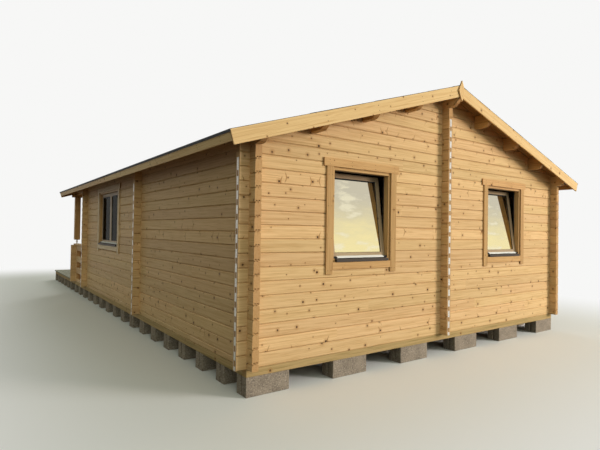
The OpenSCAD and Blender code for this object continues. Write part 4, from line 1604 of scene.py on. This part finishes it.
class CABIN_OT_stage(Operator):
    """Sets the pale floor, the soft studio lamps and the camera"""

    bl_idname = "cabin.stage"
    bl_label = "Stage"

    def floor(self):
        """Pale floor that fades to the white of the background away from the cabin."""
        bm = bmesh.new()
        bmesh.ops.create_grid(bm, x_segments=1, y_segments=1, size=90)
        mesh = bpy.data.meshes.new("floor")
        bm.to_mesh(mesh)
        bm.free()
        floor = bpy.data.objects.new("floor", mesh)
        bpy.context.scene.collection.objects.link(floor)
        material, tree, shader = new_finish("pale studio floor")
        # How far a point lies from the cabin's footprint.
        middle, half = (Y_GABLE + TERRACE_END) / 2, (TERRACE_END - Y_GABLE) / 2
        side = vector_node(tree, "SUBTRACT", piece_place(tree), (0, middle, 0))
        side = vector_node(tree, "ABSOLUTE", side)
        past = vector_node(tree, "SUBTRACT", side, (HALF_W, half, 0))
        past = vector_node(tree, "MAXIMUM", past, (0, 0, 0))
        away = vector_node(tree, "LENGTH", past)
        # Pale to the eye, and dark to the light that it throws back up at the cabin.
        seen = shown_rays(tree)
        colour = blend_colour(tree, seen, linear("4E453A"), linear("E9E8E5"))
        tree.links.new(colour, shader.inputs["Base Color"])
        even(shader, {"Roughness": 0.9, "Specular IOR Level": 0.1})
        white = add(tree, "Emission", inputs={"Color": BACKGROUND, "Strength": 1.0}).outputs[0]
        fade = math_node(tree, "MULTIPLY", span(tree, away, 0.5, 5.0), seen)
        mix = add(tree, "MixShader", inputs={0: fade, 1: shader.outputs[0], 2: white})
        tree.links.new(mix.outputs[0], tree.nodes["Material Output"].inputs["Surface"])
        mesh.materials.append(material)

    def world(self):
        """White to the eye; its light is faint all round, stronger from above and before the front gable."""
        world = bpy.data.worlds.new("studio")
        bpy.context.scene.world = world
        world.use_nodes = True
        tree = world.node_tree
        all_round, from_above, from_ahead = 0.07, 0.36, 1.1
        ray = add(tree, "TexCoord").outputs["Generated"]
        up = add(tree, "SeparateXYZ", inputs={0: ray}).outputs[2]
        up = math_node(tree, "MAXIMUM", up, 0.0)
        power = math_node(tree, "MULTIPLY_ADD", up, from_above, all_round)
        ahead = Vector((-0.22, -0.94, 0.22)).normalized()
        front = vector_node(tree, "DOT_PRODUCT", ray, ahead)
        front = math_node(tree, "POWER", math_node(tree, "MAXIMUM", front, 0.0), 3.0)
        power = math_node(tree, "MULTIPLY_ADD", front, from_ahead, power)
        lit = add(tree, "Background", inputs={"Color": linear("F4FAE8"), "Strength": power}).outputs[0]
        seen = add(tree, "Background", inputs={"Color": BACKGROUND, "Strength": 1.0}).outputs[0]
        mix = add(tree, "MixShader", inputs={0: shown_rays(tree), 1: lit, 2: seen})
        tree.links.new(mix.outputs[0], tree.nodes["World Output"].inputs["Surface"])

    def lamp(self, name, at, aim, size, power, tint="FFFFFF"):
        """A round soft lamp that is not seen itself."""
        data = bpy.data.lights.new(name, "AREA")
        data.shape = "DISK"
        data.size = size
        data.energy = power
        data.color = linear(tint)[:3]
        lamp = bpy.data.objects.new(name, data)
        bpy.context.scene.collection.objects.link(lamp)
        lamp.location = at
        lamp.rotation_euler = (Vector(at) - Vector(aim)).to_track_quat("Z", "Y").to_euler()
        lamp.visible_camera = lamp.visible_glossy = lamp.visible_transmission = False

    def camera(self):
        """The viewpoint solved from the log joints: beside the left corner, at a standing eye's height."""
        place = (-4.9718, -8.0297, 1.5591)
        yaw, pitch, roll = (math.radians(a) for a in (35.675, 0.764, 0.901))
        data = bpy.data.cameras.new("camera")
        data.sensor_width = 36.0
        data.lens = 27.63
        data.clip_end = 300
        camera = bpy.data.objects.new("camera", data)
        bpy.context.scene.collection.objects.link(camera)
        level = math.cos(pitch)
        ahead = Vector((math.sin(yaw) * level, math.cos(yaw) * level, math.sin(pitch)))
        flat = Vector((math.cos(yaw), -math.sin(yaw), 0))
        upright = flat.cross(ahead)
        right = flat * math.cos(roll) + upright * math.sin(roll)
        up = upright * math.cos(roll) - flat * math.sin(roll)
        turn = Matrix((right, up, -ahead)).transposed().to_4x4()
        camera.matrix_world = Matrix.Translation(place) @ turn
        bpy.context.scene.camera = camera

    def execute(self, context):
        context.scene.view_settings.view_transform = "Standard"
        self.floor()
        self.world()
        for lamp in (
            ("key", (14.1, -20.4, 6.7), (0, -3.0, 1.5), 9.0, 4220),
            ("low_sun", (20.0, -28.2, 5.1), (0, -3.0, 1.5), 2.0, 1300, "FFC48A"),
            ("fill", (-15.0, -5.0, 7.0), (-1, 0, 1.5), 9.0, 25, "F6FFE4"),
            ("rear", (9.0, 17.0, 9.0), (0, 2.0, 1.5), 9.0, 1000),
        ):
            self.lamp(*lamp)
        self.camera()
        return {"FINISHED"}


STEPS = (
    CABIN_OT_stage,
    CABIN_OT_footings,
    CABIN_OT_floors,
    CABIN_OT_terrace,
    CABIN_OT_gable_walls,
    CABIN_OT_long_walls,
    CABIN_OT_rails,
    CABIN_OT_posts,
    CABIN_OT_roof_logs,
    CABIN_OT_roof_cover,
    CABIN_OT_edge_boards,
    CABIN_OT_windows,
    CABIN_OT_casings,
    CABIN_OT_door,
)


class CABIN_PT_looks(Panel):
    """Sizes, colours and building steps of the cabin"""

    bl_label = "Log cabin"
    bl_space_type = "VIEW_3D"
    bl_region_type = "UI"
    bl_category = "Cabin"

    def draw(self, context):
        layout = self.layout
        for step in STEPS:
            layout.operator(step.bl_idname)
        for name, group in GROUPS.items():
            box = layout.box()
            box.label(text=group.__name__)
            for prop in group.__annotations__:
                box.prop(getattr(context.scene, name), prop)


def register():
    for group in GROUPS.values():
        bpy.utils.register_class(group)
    for name, group in GROUPS.items():
        setattr(bpy.types.Scene, name, PointerProperty(type=group))
    for step in STEPS:
        bpy.utils.register_class(step)
    bpy.utils.register_class(CABIN_PT_looks)


def unregister():
    bpy.utils.unregister_class(CABIN_PT_looks)
    for step in reversed(STEPS):
        bpy.utils.unregister_class(step)
    for name, group in GROUPS.items():
        delattr(bpy.types.Scene, name)
        bpy.utils.unregister_class(group)


def main():
    """Builds the cabin step by step."""
    register()
    for step in STEPS:
        family, name = step.bl_idname.split(".")
        getattr(getattr(bpy.ops, family), name)()


if __name__ == "__main__":
    main()
